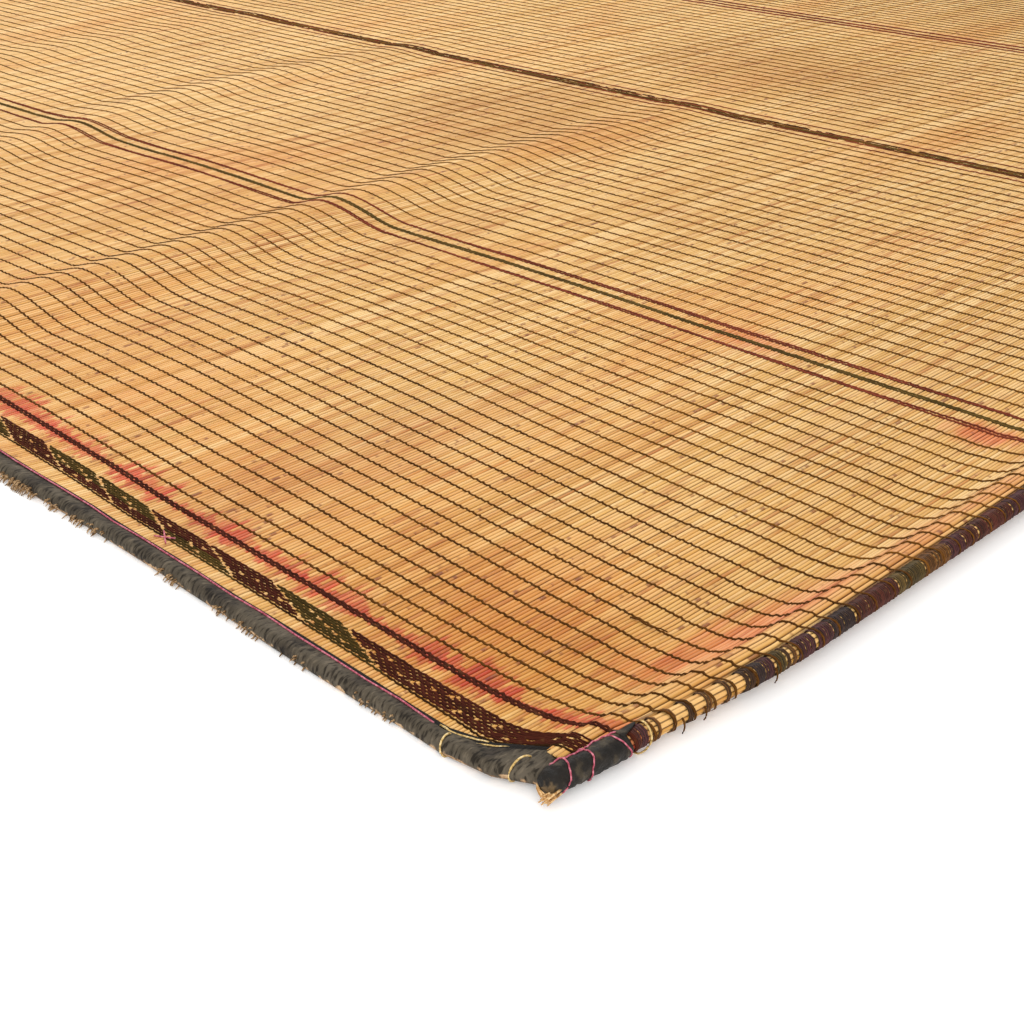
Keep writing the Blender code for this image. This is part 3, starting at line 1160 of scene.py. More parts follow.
@dataclass
class ReedField:
    """The field of reeds, one stalk for each step of the lay."""

    lay: ReedLay
    overlap: float = 1.03
    sway: float = 0.035
    sway_rate: float = 5.1
    shift: float = 0.05

    def build(self, name: str, first: int, last: int) -> Piece:
        """Model one stalk, copy it for each number, and lay the stalks on the mat's form.

        Args:
            name: the piece's name.
            first: the first stalk's number.
            last: the number after the last stalk.

        Returns:
            The piece.
        """
        lay = self.lay
        rows = lay.rows
        length = 2 * lay.form.sheet_half_y
        radius = lay.pitch / 2
        piece = Bench.tube(name, 6, radius, length, len(rows) - 2, spin=math.pi / 6)
        apart = 1.5 * lay.pitch
        Bench.repeat(piece, last - first, (apart, 0.0, 0.0))
        places = Bench.points(piece)
        index = np.rint(places[:, 0] / apart).astype(int)
        side = (places[:, 0] - index * apart) / radius
        up = places[:, 2] / (radius * math.sin(math.pi / 3))
        row = Bench.station(places[:, 1], length, len(rows) - 1)
        number = index + first
        y = rows[row]
        draw = np.random.default_rng(lay.seed + first)
        sway = self.sway * np.sin(y * self.sway_rate + draw.uniform(0.0, FULL_TURN, last - first)[index])
        sway = sway + self.shift * draw.uniform(-1.0, 1.0, last - first)[index]
        x = lay.x_of(number + sway + 0.5 * self.overlap * side)
        height = lay.base_height(number) + lay.half_height * up
        Bench.move_points(piece, lay.form.place(x, y, height))
        from_near = lay.form.half_width + y
        settled = from_near - THONG_BEND.shift(from_near, x)
        Bench.note(piece, "reed_place", "FLOAT_VECTOR", np.stack([number, settled, side], axis=-1))
        return piece


@dataclass(frozen=True)
class ThongLine:
    """One thong along the mat, placed by its distance from the near end at the right side."""

    at: float
    dye: Dye = Dye.BROWN
    width: float = 0.0014
    chart_row: int | None = None
    mottle: float = 0.30
    dips: float = 0.0


@dataclass
class BandChart:
    """The patterned band, charted by rows and reeds: slanted blocks of two dyes with light steps between.

    Each block has its own dye in its upper and in its lower rows, burgundy or olive brown.
    """

    first_step: float = 1.4191
    block: float = 21.2
    slant: float = 1.9
    gap: float = 1.15
    middle_row: int = 4
    last_row: int = 8
    dots_from: float = 4.0
    dots_end_before: float = 3.0
    olive_dot_every: int = 9
    burgundy_dot_every: int = 17
    solid_dot_every: int = 31
    olive_above: tuple[bool, ...] = (True, False, False, True, True, False)
    olive_below: tuple[bool, ...] = (True, False, True, False, False, False)

    def cells(self, lay: ReedLay, row: Array, number: Array) -> tuple[Array, Array]:
        """Where the thong lies on top, and which dye shows.

        Args:
            lay: the lay of the reeds.
            row: the band's row of each place.
            number: the reed of each place.

        Returns:
            Whether the thong lies on top, and whether it is olive brown there.
        """
        start = lay.number_at(self.first_step)
        back = (start - number - self.slant * (row - self.middle_row)) / self.block
        block = np.floor(back).astype(int)
        within = (back - block) * self.block
        solid = block < 0
        step = ~solid & (within < self.gap)
        cycle = np.mod(block, len(self.olive_above))
        upper = row > self.middle_row - 1
        olive = np.where(upper, np.array(self.olive_above)[cycle], np.array(self.olive_below)[cycle]) & ~solid
        inside = (row > 1) & (row < self.last_row - 1)
        inside &= (within > self.dots_from) & (within < self.block - self.dots_end_before)
        olive_dots = (number + 3 * row) % self.olive_dot_every == 0
        burgundy_dots = (number * 3 + row * 5) % self.burgundy_dot_every == 0
        solid_dots = (number * 5 + row * 3) % self.solid_dot_every == 0
        dots = inside & np.where(olive, olive_dots, burgundy_dots)
        dots |= solid & solid_dots & (row > 1) & (row < self.last_row)
        return (row == 0) | ~(step | dots), olive


@dataclass
class ThongWork:
    """The leather thongs that hold the reeds, laid out flat at their real size and then draped on them."""

    lay: ReedLay
    material: Material
    rise: float = 0.00085
    edge_rise: float = 0.00008
    zigzag: float = 0.00046
    jitter: float = 0.00022
    wander: float = 0.0015
    waves: tuple[Place, ...] = ((7.1, 1.0, 6.28), (16.9, 0.7, 17.0), (39.0, 0.45, 29.0))
    spacing: float = 0.02
    blank_width: float = 0.0014
    width_change: float = 0.12
    rise_change: float = 0.15
    charted_zigzag: float = 0.75
    charted_phase: float = 0.4
    flat_ridge: float = 0.7
    drop_between: float = 0.00028
    hidden_height: float = 0.0004
    tone_steps: int = 9
    # Shares of a thong's colour: painted shade at its edges, painted highlight along its crest
    painted_edge_shade: float = 0.50
    painted_crest_highlight: float = 0.85
    wrap_steps: int = 6
    wrap_start: float = 128.0
    wrap_turn: float = 32.0
    wrap_advance: float = 0.0004
    wrap_lift: float = 0.0006
    wrap_ridge: float = 0.0003
    tuck_in: float = 0.0026
    tuck_before_mouth: float = 0.006
    back_steps: int = 110
    back_width: float = 0.0017
    back_height: float = 0.00012
    chart: BandChart = field(default_factory=BandChart)

    def line_places(self, at: Array, x: Array, phase: Array) -> Array:
        """Place across the mat of thongs at places along it.

        Args:
            at: each thong's distance from the near end at the right side.
            x: the place along the mat.
            phase: a chance value of each thong.

        Returns:
            The place across the undrawn rectangle.
        """
        form = self.lay.form
        from_near = at + THONG_BEND.shift(at, x)
        border = ease(0.060, 0.110, np.minimum(at, form.width - at))
        sway = sum(size * np.sin(x * rate + phase * turn) for rate, size, turn in self.waves)
        from_near = from_near + self.wander * (0.25 + 0.75 * border) * sway / 2
        y = from_near - form.half_width
        near_end = ease(form.sheet_half_y - form.draw_in_run_y, form.sheet_half_y, np.abs(y))
        return y + np.copysign(form.end_inset(x) * near_end, y)

    def blanks(self, name: str, count: int, steps: int, across: int) -> tuple[Piece, Array, Array, Array]:
        """Lay out flat thongs side by side, as long as the mat."""
        length = self.lay.form.length
        return Bench.strip_row(name, count, self.spacing, length, self.blank_width, steps, across)

    def build(self, name: str, lines: Sequence[ThongLine], detail: Detail) -> None:
        """Model a group of thongs as one piece.

        Args:
            name: the piece's name.
            lines: the thongs.
            detail: how finely they are modelled.
        """
        lay = self.lay
        per_reed, across = detail.value
        steps = round((lay.count - 1) * per_reed) + 2 * self.wrap_steps
        piece, strip, step, line = self.blanks(name, len(lines), steps, across)
        draw = np.random.default_rng(len(lines) * 31 + steps + round(lines[0].at * 1000))
        values = np.array([(item.at, item.width, item.dips, item.mottle) for item in lines])
        at, width, dips, mottle = values[strip].T
        phase = draw.uniform(0.0, 1.0, len(lines))[strip]
        number = np.clip((step - self.wrap_steps) / per_reed, 0, lay.count - 1)
        on_crest = np.abs(number - np.rint(number)) < 0.01
        x = lay.x_of(number)
        across_share = line / across - 0.5
        turn = np.cos(math.pi * (number * min(1.0, per_reed) + strip))
        chance = draw.uniform(-1.0, 1.0, (len(lines), steps + 1))[strip, step]
        centre = self.zigzag * turn + self.jitter * chance
        charted = np.array([item.chart_row is not None for item in lines])[strip]
        y = self.line_places(at, x, np.where(charted, self.charted_phase, phase))
        y = y + np.where(charted, self.charted_zigzag, 1.0) * centre
        y = y + across_share * width * (1.0 + self.width_change * chance)
        ridge = 1.0 - 2.0 * np.abs(across_share) if across == 2 else np.full(len(x), self.flat_ridge)
        beside = (lay.top_height(np.rint(number) - 1) + lay.top_height(np.rint(number) + 1)) / 2
        crest = np.maximum(lay.top_height(np.rint(number)), beside) + self.edge_rise
        crest = crest + ridge * self.rise * (1.0 + self.rise_change * chance)
        height = np.where(on_crest, crest, crest - self.drop_between)
        row = np.array([item.chart_row or 0 for item in lines])[strip]
        on_top, olive = self.chart.cells(lay, row, np.rint(number).astype(int))
        dipped = draw.uniform(0.0, 1.0, (len(lines), steps + 1))[strip, step] < dips
        height = np.where(((charted & ~on_top) | dipped) & on_crest, self.hidden_height, height)
        places = lay.on_reeds(x, y, height)
        self.wrap_ends(places, step, steps, ridge)
        Bench.move_points(piece, places)
        first = np.array([linear_colour(item.dye.value) for item in lines])[strip]
        other = np.array(linear_colour(Dye.OLIVE_BROWN.value))
        chances = draw.uniform(-1.0, 1.0, (len(lines), steps // self.tone_steps + 2))
        tone = 1.0 + mottle * chances[strip, step // self.tone_steps]
        # Random mottle, times painted shade along each thong's edges and a painted highlight along its crest.
        tone = tone * (self.painted_edge_shade + self.painted_crest_highlight * ridge)
        colour = np.where((charted & olive)[:, None], other, first) * tone[:, None]
        colour[:, 3] = 1.0
        Bench.note(piece, "thong_dye_and_painted_shade", "FLOAT_COLOR", colour)
        Bench.dress(piece, self.material, "thong_leather")

    def wrap_ends(self, places: Array, step: Array, steps: int, ridge: Array) -> None:
        """Turn the last steps of each thong round the bundles, in place.

        Args:
            places: the thongs' points, changed here.
            step: the step of each point.
            steps: how many steps there are.
            ridge: how far up each point is on its thong's section.
        """
        form = self.lay.form
        for side, past in ((Side.LEFT, self.wrap_steps - step), (Side.RIGHT, step - steps + self.wrap_steps)):
            here = past > 0
            angle = np.radians(self.wrap_start - self.wrap_turn * past[here])
            drawn_y = places[here, 1] + self.wrap_advance * past[here]
            tucked = np.abs(drawn_y) > form.half_width - form.cap_mouth + self.tuck_before_mouth
            radius = form.bundle_radius + self.wrap_lift + self.wrap_ridge * ridge[here]
            radius = radius - self.tuck_in * tucked
            places[here] = form.bundle_point(side, drawn_y, angle, radius)

    def build_underside(self, name: str, lines: Sequence[ThongLine]) -> None:
        """Model what shows of the thongs on the underside, as flat ribbons under the reeds.

        Args:
            name: the piece's name.
            lines: the thongs.
        """
        lay, steps = self.lay, self.back_steps
        piece, strip, step, line = self.blanks(name, len(lines), steps, 1)
        x = lay.x_of(step / steps * (lay.count - 1))
        at = np.array([item.at for item in lines])[strip]
        phase = np.random.default_rng(3).uniform(0.0, 1.0, len(lines))[strip]
        y = self.line_places(at, x, phase) + (line - 0.5) * self.back_width
        Bench.move_points(piece, lay.on_reeds(x, y, np.full(len(x), self.back_height)))
        colour = np.tile(np.array(linear_colour(Dye.DARK_BROWN.value)), (len(x), 1))
        Bench.note(piece, "thong_dye_and_painted_shade", "FLOAT_COLOR", colour)
        Bench.face_outwards(piece, flip=True)
        Bench.dress(piece, self.material, "thong_leather")


@dataclass(frozen=True)
class WrapSection:
    """A stretch of thong turns round a bundle, placed by its distance from the near end."""

    start: float
    end: float
    dye: Dye
    pitch: float = 0.0015


@dataclass
class EdgeBundle:
    """The last reeds of one long side, gathered and wrapped with thongs."""

    lay: ReedLay
    side: Side
    thong: Material
    reed: Material
    stalks: int = 9
    stalk_circle: float = 0.0038
    hem_stalk_angle: float = 2.92
    hem_stalk_circle: float = 0.0071
    stalk_radius: float = 0.00140
    wrap_radius: float = 0.00572
    wrap_crown: float = 0.00048
    wrap_sides: int = 9
    turn_step: float = 0.0015
    sections: tuple[WrapSection, ...] = ()
    bare_runs: Row = (0.0004, 0.0012, 0.0026)
    section_run: Span = (0.010, 0.052)
    chance_dyes: tuple[Dye, ...] = (
        Dye.BURGUNDY, Dye.BURGUNDY, Dye.DARK_BROWN, Dye.OLIVE_BROWN, Dye.PLUM, Dye.BLUE_BLACK, Dye.BURGUNDY,
    )
    seed: int = 17

    def all_sections(self) -> list[WrapSection]:
        """The stated sections, and then sections of chance length up to the far cap.

        Returns:
            Every section of this bundle.
        """
        form = self.lay.form
        draw = random.Random(self.seed + self.side.value)
        found = list(self.sections)
        at = found[-1].end if found else form.cap_mouth + 0.002
        last = form.width - form.cap_mouth - 0.001
        while at < last:
            start = at + draw.choice(self.bare_runs)
            end = min(last, start + draw.uniform(*self.section_run))
            found.append(WrapSection(start, end, draw.choice(self.chance_dyes)))
            at = end
        return found

    def build(self) -> None:
        """Build the stalks and the wraps."""
        self.build_stalks()
        self.build_wraps()

    def build_stalks(self) -> None:
        """Model one stalk, copy it round the bundle's axis, and lay one more against the sheet."""
        form = self.lay.form
        mouth = form.half_width - form.cap_mouth + 0.012
        bends = np.linspace(form.half_width - form.bundle_bend[1], mouth, 8)
        rows = np.concatenate([-bends[::-1], np.linspace(-bends[0], bends[0], 16)[1:-1], bends])
        name = f"bundle_reeds_{self.side.name.lower()}"
        piece = Bench.tube(name, 6, self.stalk_radius, 2 * mouth, len(rows) - 2)
        step = 2 * self.stalk_radius
        Bench.repeat(piece, self.stalks + 1, (step, 0.0, 0.0))
        places = Bench.points(piece)
        stalk = np.rint(places[:, 0] / step).astype(int)
        row = Bench.station(places[:, 1], 2 * mouth, len(rows) - 1)
        at_hem = stalk == self.stalks
        angle = np.where(at_hem, self.hem_stalk_angle, 2 * math.pi * stalk / self.stalks + 0.5)
        circle = np.where(at_hem, self.hem_stalk_circle, self.stalk_circle)
        around = (places[:, 0] - stalk * step) / circle
        y = rows[row]
        Bench.move_points(piece, form.bundle_point(self.side, y, angle + around, circle + places[:, 2]))
        if self.side is Side.LEFT:
            Bench.face_outwards(piece, flip=True)
        from_near = form.half_width + y
        number = stalk * 7.0 + (2000.0 if self.side is Side.RIGHT else 3000.0)
        side = (places[:, 0] - stalk * step) / self.stalk_radius
        Bench.note(piece, "reed_place", "FLOAT_VECTOR", np.stack([number, from_near, side], axis=-1))
        Bench.dress(piece, self.reed, "reed")

    def build_wraps(self) -> None:
        """Model one turn, copy it for every turn of all sections, and place the copies."""
        form = self.lay.form
        centres, widths, dyes = [], [], []
        for section in self.all_sections():
            turns = max(1, round((section.end - section.start) / section.pitch))
            for turn in range(turns):
                centres.append(section.start + (turn + 0.5) * (section.end - section.start) / turns)
                widths.append((section.end - section.start) / turns)
                dyes.append(linear_colour(section.dye.value))
        name = f"thong_wraps_{self.side.name.lower()}"
        step = self.turn_step
        piece = Bench.tube(name, self.wrap_sides, self.wrap_radius, step * 0.8, 1, open_ends=True)
        Bench.repeat(piece, len(centres), (0.0, step, 0.0))
        places = Bench.points(piece)
        ring = np.rint(places[:, 1] / step).astype(int)
        part = np.rint((places[:, 1] - ring * step) / (step * 0.4))
        angle = np.arctan2(places[:, 2], places[:, 0])
        chance = np.random.default_rng(self.seed).uniform(-1.0, 1.0, (len(centres), 3))
        width = np.array(widths)[ring]
        lean = width * (0.5 * np.sin(angle) + 0.25 * chance[ring, 0])
        y = np.array(centres)[ring] - form.half_width + part * width * 0.50 + lean
        crown = np.where(part == 0, self.wrap_crown * (1.0 + 0.4 * chance[ring, 1]), -0.00015)
        Bench.move_points(piece, form.bundle_point(self.side, y, angle, self.wrap_radius + crown))
        if self.side is Side.LEFT:
            Bench.face_outwards(piece, flip=True)
        # Random tone for each turn, with a painted highlight on its crown and painted shade in the grooves
        # between turns.
        tone = (1.0 + 0.40 * chance[ring, 2]) * np.where(part == 0, 1.9, 0.16)
        colour = np.array(dyes)[ring] * tone[:, None]
        colour[:, 3] = 1.0
        Bench.note(piece, "thong_dye_and_painted_shade", "FLOAT_COLOR", colour)
        Bench.dress(piece, self.thong, "thong_leather", [f"edge_bundle_{self.side.name.lower()}"])


@dataclass
class LeatherRoll:
    """The leather roll on the reed ends of one end, with the flap that is sewn down onto the reeds."""

    lay: ReedLay
    end: End
    material: Material
    ring_step: float = 0.0042
    round_points: int = 12
    slim_radius: float = 0.0046
    corner_radius: float = 0.0047
    slim_run: Span = (1.20, 1.44)
    drawn_in: float = 0.0048
    drawn_run: Span = (1.20, 1.40)
    end_overlap: float = 0.0050
    bow: Curve = Curve(
        (1.300, 1.430, 1.490, 1.513, 1.522, 1.531, 1.540, 1.548, 1.557, 1.564),
        (0.0, 0.0020, 0.0020, 0.0035, 0.0060, 0.0080, 0.0080, 0.0047, -0.0020, -0.0068),
    )
    seam: Curve = Curve(
        (1.00, 1.12, 1.24, 1.36, 1.45, 1.52), (0.0082, 0.0062, 0.0034, 0.0002, 0.0002, 0.0008)
    )
    flap_edge: float = 0.0026
    corner_edge: float = 0.0050
    first_widening: Span = (1.24, 1.44)
    last_widening: Span = (1.48, 1.54)
    flap_thickness: float = 0.0006
    tuck_depth: float = 0.0012
    crease_depth: float = 0.00020
    lump_height: float = 0.00020
    round_start: float = 72.0
    round_turn: float = 258.0
    points_round: int = 18

    def radius(self, x: Array) -> Array:
        """Radius of the roll, thicker at the corners and slimmer between them."""
        return self.slim_radius + (self.corner_radius - self.slim_radius) * ease(*self.slim_run, np.abs(x))

    def axis_y(self, x: Array) -> Array:
        """Distance of the roll's own axis from the middle, drawn in where the edge is worn."""
        form = self.lay.form
        bow = self.bow.at(x) if self.end is End.NEAR else 0.0
        return form.roll_axis_y - form.end_inset(x) - self.drawn_in * (1.0 - ease(*self.drawn_run, x)) + bow

    def axis_height(self, x: Array) -> Array:
        """Height of the roll's own axis, with its underside where the solid's is."""
        return self.lay.form.roll_height(x) - self.lay.form.roll_radius + self.radius(x)

    def edge_width(self, x: Array) -> Array:
        """Width of the dark edge that the flap shows past the thread, wider near the right corner."""
        widening = 0.3 * ease(*self.first_widening, x) + 0.7 * ease(*self.last_widening, x)
        return self.flap_edge + (self.corner_edge - self.flap_edge) * widening

    def flap_length(self, x: Array) -> Array:
        """How far the flap reaches past the roll, with an uneven edge."""
        reach = self.seam.at(x) + self.edge_width(x)
        return reach + 0.0004 * np.sin(x * 61.0) + 0.0003 * np.sin(x * 173.0)

    def seam_place(self, x: Array, back: Any, up: float) -> Array:
        """Place on the flap, which rests on the reeds and on the roll, measured from its edge.

        Args:
            x: places along the mat.
            back: distance back from the flap's edge.
            up: height above the flap.

        Returns:
            One row of coordinates for each place.
        """
        y = self.end.value * (self.lay.form.sheet_half_y - self.flap_length(x) + back)
        lift = self.flap_thickness + up
        spots = self.lay.on_reeds(x, y, np.full(len(x), self.lay.crest_height + lift))
        off_axis = np.abs(spots[:, 1]) - self.axis_y(x)
        crown = np.sqrt(np.maximum((self.radius(x) + lift) ** 2 - off_axis**2, 0.0))
        spots[:, 2] = np.maximum(spots[:, 2], self.axis_height(x) + crown)
        return spots

    def point(self, x: Array, angle: Array, lift: Array) -> Array:
        """Place round the roll's axis: angle 0 faces the reeds, 90 degrees faces up.

        Args:
            x: places along the mat.
            angle: angles in radians.
            lift: distances above the leather.

        Returns:
            One row of coordinates for each place.
        """
        radius = self.radius(x) + lift
        y = self.end.value * (self.axis_y(x) - radius * np.cos(angle))
        return np.stack([x, y, np.maximum(self.axis_height(x) + radius * np.sin(angle), 0.0002)], axis=-1)

    def build(self) -> None:
        """Model the roll as a tube, then give it its round and its flap."""
        form = self.lay.form
        name = f"leather_roll_skin_{self.end.name.lower()}"
        length = 2 * (form.roll_end_x + self.end_overlap)
        rings = round(length / self.ring_step)
        piece = Bench.tube(name, self.points_round, form.roll_radius, length, rings - 1, axis=0)
        places = Bench.points(piece)
        x = places[:, 0]
        turn = np.arctan2(places[:, 2], places[:, 1]) / (2 * math.pi) * self.points_round
        index = np.rint(turn - turn.min()).astype(int) % self.points_round
        last = self.round_points - 1
        degrees = self.round_start + self.round_turn * np.minimum(index, last) / last
        angle = np.radians(degrees)
        lumps = 0.6 * np.sin(x * 31.0) + 0.5 * np.sin(x * 83.0 + 1.7) + 0.4 * np.sin(x * 211.0 + angle)
        creases = np.sin(x * 2 * math.pi / 0.0168 + 2.2 * angle + 1.4 * np.sin(x * 37.0))
        creases = creases * np.sin(x * 57.0 + angle) + 0.6 * np.sin(x * 2 * math.pi / 0.0105 - 1.6 * angle)
        places = self.point(x, angle, self.lump_height * lumps + self.crease_depth * creases)
        reach, dark = self.flap_length(x), self.edge_width(x)
        flap = (
            self.seam_place(x, reach, -self.flap_thickness - self.tuck_depth),
            self.seam_place(x, 0.0004, -self.flap_thickness - 0.0001),
            self.seam_place(x, 0.0, -0.00025),
            self.seam_place(x, 0.5 * dark, 0.0),
            self.seam_place(x, 0.9 * dark, 0.0001),
            self.seam_place(x, 0.6 * dark + 0.4 * np.maximum(reach, dark), 0.0006),
        )
        for step, spot in enumerate(flap):
            places = np.where((index == self.round_points + step)[:, None], spot, places)
        Bench.move_points(piece, places)
        low = ease(150.0, 205.0, degrees) * (1.0 - ease(300.0, 330.0, degrees))
        patches = 0.5 + 0.5 * np.sin(x * 19.0 + 0.8) * np.sin(x * 47.0 + 2.0)
        wear = low * (0.34 + 0.36 * patches + 0.16 * (1.0 - ease(1.15, 1.40, x)))
        Bench.note(piece, "wear", "FLOAT", np.where(index > last, 0.0, wear))
        edge = (index > self.round_points) & (index < self.round_points + 5)
        Bench.note(piece, "edge", "FLOAT", np.where(edge, 1.0, 0.0))
        Bench.face_outwards(piece)
        Bench.dress(piece, self.material, "roll_leather", [f"leather_roll_{self.end.name.lower()}"])


@dataclass
class CornerCap:
    """The leather cap that closes a bundle at one corner."""

    lay: ReedLay
    side: Side
    end: End
    material: Material
    rings: int = 34
    points_round: int = 30
    tip: float = 0.0056
    mouth: float = 0.0572
    skin_radius: float = 0.0070
    tip_lean: float = 0.0042
    fold_depth: float = 0.00030
    profile: Curve = Curve(
        (0.0, 0.01, 0.03, 0.07, 0.14, 0.35, 0.55, 0.80, 0.96, 1.0),
        (0.03, 0.42, 0.66, 0.86, 0.97, 1.00, 0.96, 1.00, 0.98, 0.88),
    )
    crowding: float = 1.6

    def point(self, along: Array, angle: Array, lift: Array) -> Array:
        """Place on the cap: angle 0 faces outwards, 90 degrees faces up.

        Args:
            along: shares of the way from the tip to the mouth.
            angle: angles in radians.
            lift: distances above the leather.

        Returns:
            One row of coordinates for each place.
        """
        form = self.lay.form
        share = self.profile.at(along)
        folds = np.sin(3 * angle + 9.0 * along) + 0.7 * np.sin(5 * angle - 31.0 * along)
        folds = folds + 0.8 * np.sin(2 * angle + 58.0 * along) + 0.5 * np.sin(7 * angle + 83.0 * along)
        radius = self.skin_radius * share + self.fold_depth * folds * ease(0.0, 0.1, along) + lift
        y = self.end.value * (form.half_width - self.tip - (self.mouth - self.tip) * along)
        lean = self.tip_lean * (1.0 - ease(0.0, 0.9, along))
        x = self.side.value * (form.bundle_axis_x - form.side_inset(y) - lean + radius * np.cos(angle))
        return np.stack([x, y, np.maximum(form.cap_axis_height + radius * np.sin(angle), 0.0003)], axis=-1)

    def build(self) -> None:
        """Model the cap as a tube, shape it by its profile and wrinkle it."""
        name = f"cap_skin_{self.end.name.lower()}_{self.side.name.lower()}"
        length = self.mouth - self.tip
        piece = Bench.tube(name, self.points_round, self.lay.form.cap_radius, length, self.rings)
        places = Bench.points(piece)
        along = np.clip(places[:, 1] / length + 0.5, 0.0, 1.0) ** self.crowding
        angle = np.arctan2(places[:, 2], places[:, 0])
        Bench.move_points(piece, self.point(along, angle, 0.0))
        low = 0.5 - 0.5 * np.sin(angle - 0.6)
        Bench.note(piece, "wear", "FLOAT", (0.35 + 0.45 * low) * (1.0 - ease(0.02, 0.16, along)))
        Bench.face_outwards(piece)
        node = f"corner_cap_{self.end.name.lower()}_{self.side.name.lower()}"
        Bench.dress(piece, self.material, "cap_leather", [node])


@dataclass
class Trimmings:
    """The threads, raffia, straw and torn fibres of one end of the mat."""

    lay: ReedLay
    roll: LeatherRoll
    cotton: Material
    raffia: Material
    straw: Material
    fibre: Material
    tongue: Material
    seam_end: float = 1.508
    seam_inset: float = 0.02
    seam_step: float = 0.004
    thread_thickness: float = 0.0011
    cap_thread_thickness: float = 0.0009
    cap_turns: tuple[Span, ...] = ((0.24, 0.07), (0.52, 0.05), (0.93, -0.06))
    crossed: tuple[Row, ...] = (
        (1.2304, -1.1024, 1.2461, -1.1118),
        (1.2440, -1.1035, 1.2330, -1.1112),
    )
    crossed_lift: float = 0.0009
    raffia_thickness: float = 0.0011
    raffia_points: int = 18
    raffia_loops: tuple[Place, ...] = ((1.5130, 0.0022, 0.0007), (1.5545, -0.0014, 0.0019))
    straws: int = 16
    straw_thickness: float = 0.0013
    straw_from: float = 0.0120
    straw_reach: Span = (0.0075, 0.0105)
    nose_strands: int = 4
    torn_spots: tuple[tuple[float, int, float], ...] = (
        (1.020, 16, 0.008), (1.060, 20, 0.009), (1.097, 26, 0.012), (1.108, 30, 0.012), (1.119, 26, 0.010),
        (1.148, 12, 0.007), (1.178, 16, 0.008), (1.201, 14, 0.007), (1.2777, 24, 0.006), (1.3298, 12, 0.0035),
        (1.3571, 16, 0.0035), (1.3991, 10, 0.0025), (1.4526, 8, 0.0025), (1.4685, 10, 0.0025),
    )
    torn_spread: float = 0.0055
    fibre_thickness: float = 0.0014
    torn_angles: Span = (150.0, 215.0)
    seed: int = 23

    def build_seam(self) -> None:
        """Run the pink sewing thread along the flap, a little back from its edge."""
        form = self.lay.form
        draw = np.random.default_rng(self.seed)
        near = self.roll.end is End.NEAR
        right = self.seam_end if near else form.roll_end_x - self.seam_inset
        x = np.arange(-form.roll_end_x + self.seam_inset, right, self.seam_step)
        back = self.roll.edge_width(x) + 0.0004 * np.sin(x * 310.0) + 0.0003 * draw.uniform(-1.0, 1.0, len(x))
        route = self.roll.seam_place(x, back, 0.0008)
        route[:, 2] += 0.00015 * np.sin(x * 700.0)
        piece = Bench.strands(f"sewing_thread_{self.roll.end.name.lower()}", [route], self.thread_thickness)
        Bench.dress(piece, self.cotton, "sewing_thread")
        if near:
            strokes = []
            for first_x, first_y, last_x, last_y in self.crossed:
                share = np.linspace(0.0, 1.0, 8)
                x = first_x + (last_x - first_x) * share
                y = first_y + (last_y - first_y) * share
                strokes.append(self.lay.on_reeds(x, y, self.lay.crest_height + self.crossed_lift))
            crossed = Bench.strands("sewing_thread_crossed", strokes, 0.0010)
            Bench.dress(crossed, self.cotton, "sewing_thread")

    def build_cap_thread(self, cap: CornerCap) -> None:
        """Wind the pink thread round a cap, and cross it over the tip.

        Args:
            cap: the cap.
        """
        routes = []
        for start, lean in self.cap_turns:
            turn = np.linspace(-0.9, 3.3, 26)
            along = np.clip(start + lean * np.sin(turn - 0.6), 0.0, 1.0)
            routes.append(cap.point(along, turn, 0.0003))
        along = np.linspace(0.20, 0.97, 26)
        routes.append(cap.point(along, 2.15 + 0.25 * np.sin(along * 11.0), 0.0004))
        share = np.linspace(0.0, 1.0, 26)
        routes.append(cap.point(0.05 + 0.35 * np.abs(share - 0.5), 2.6 + 2.6 * share, 0.0006))
        name = f"cap_thread_{cap.end.name.lower()}_{cap.side.name.lower()}"
        piece = Bench.strands(name, routes, self.cap_thread_thickness)
        Bench.dress(piece, self.cotton, "sewing_thread")

    def build_raffia(self) -> None:
        """Tie the two raffia loops round the roll, the strand between them, and the low loop at the cap."""
        form, roll, points = self.lay.form, self.roll, self.raffia_points
        routes = []
        for x, lean, up in self.raffia_loops:
            angle = np.radians(np.linspace(38.0, 262.0, points))
            share = np.linspace(-0.5, 0.5, points)
            routes.append(roll.point(x + lean * 2 * share, angle, up))
        x = np.linspace(1.5085, 1.5600, points)
        routes.append(roll.seam_place(x, roll.edge_width(x) - 0.0010 + 0.0009 * np.sin(x * 190.0), 0.0006))
        x = np.linspace(1.5120, 1.5420, points)
        routes.append(roll.seam_place(x, roll.edge_width(x) - 0.0030 + 0.0016 * np.sin(x * 150.0), 0.0008))
        turn = np.linspace(1.9, -2.0, points)
        low = form.bundle_point(Side.RIGHT, -form.half_width + 0.0690 + 0.001 * turn, turn, 0.0068)
        low[:, 2] = np.maximum(low[:, 2] - 0.004 * (turn < -0.6) * (-turn - 0.6), 0.0008)
        routes.append(low)
        piece = Bench.strands("raffia_ties", routes, self.raffia_thickness)
        Bench.dress(piece, self.raffia, "raffia")

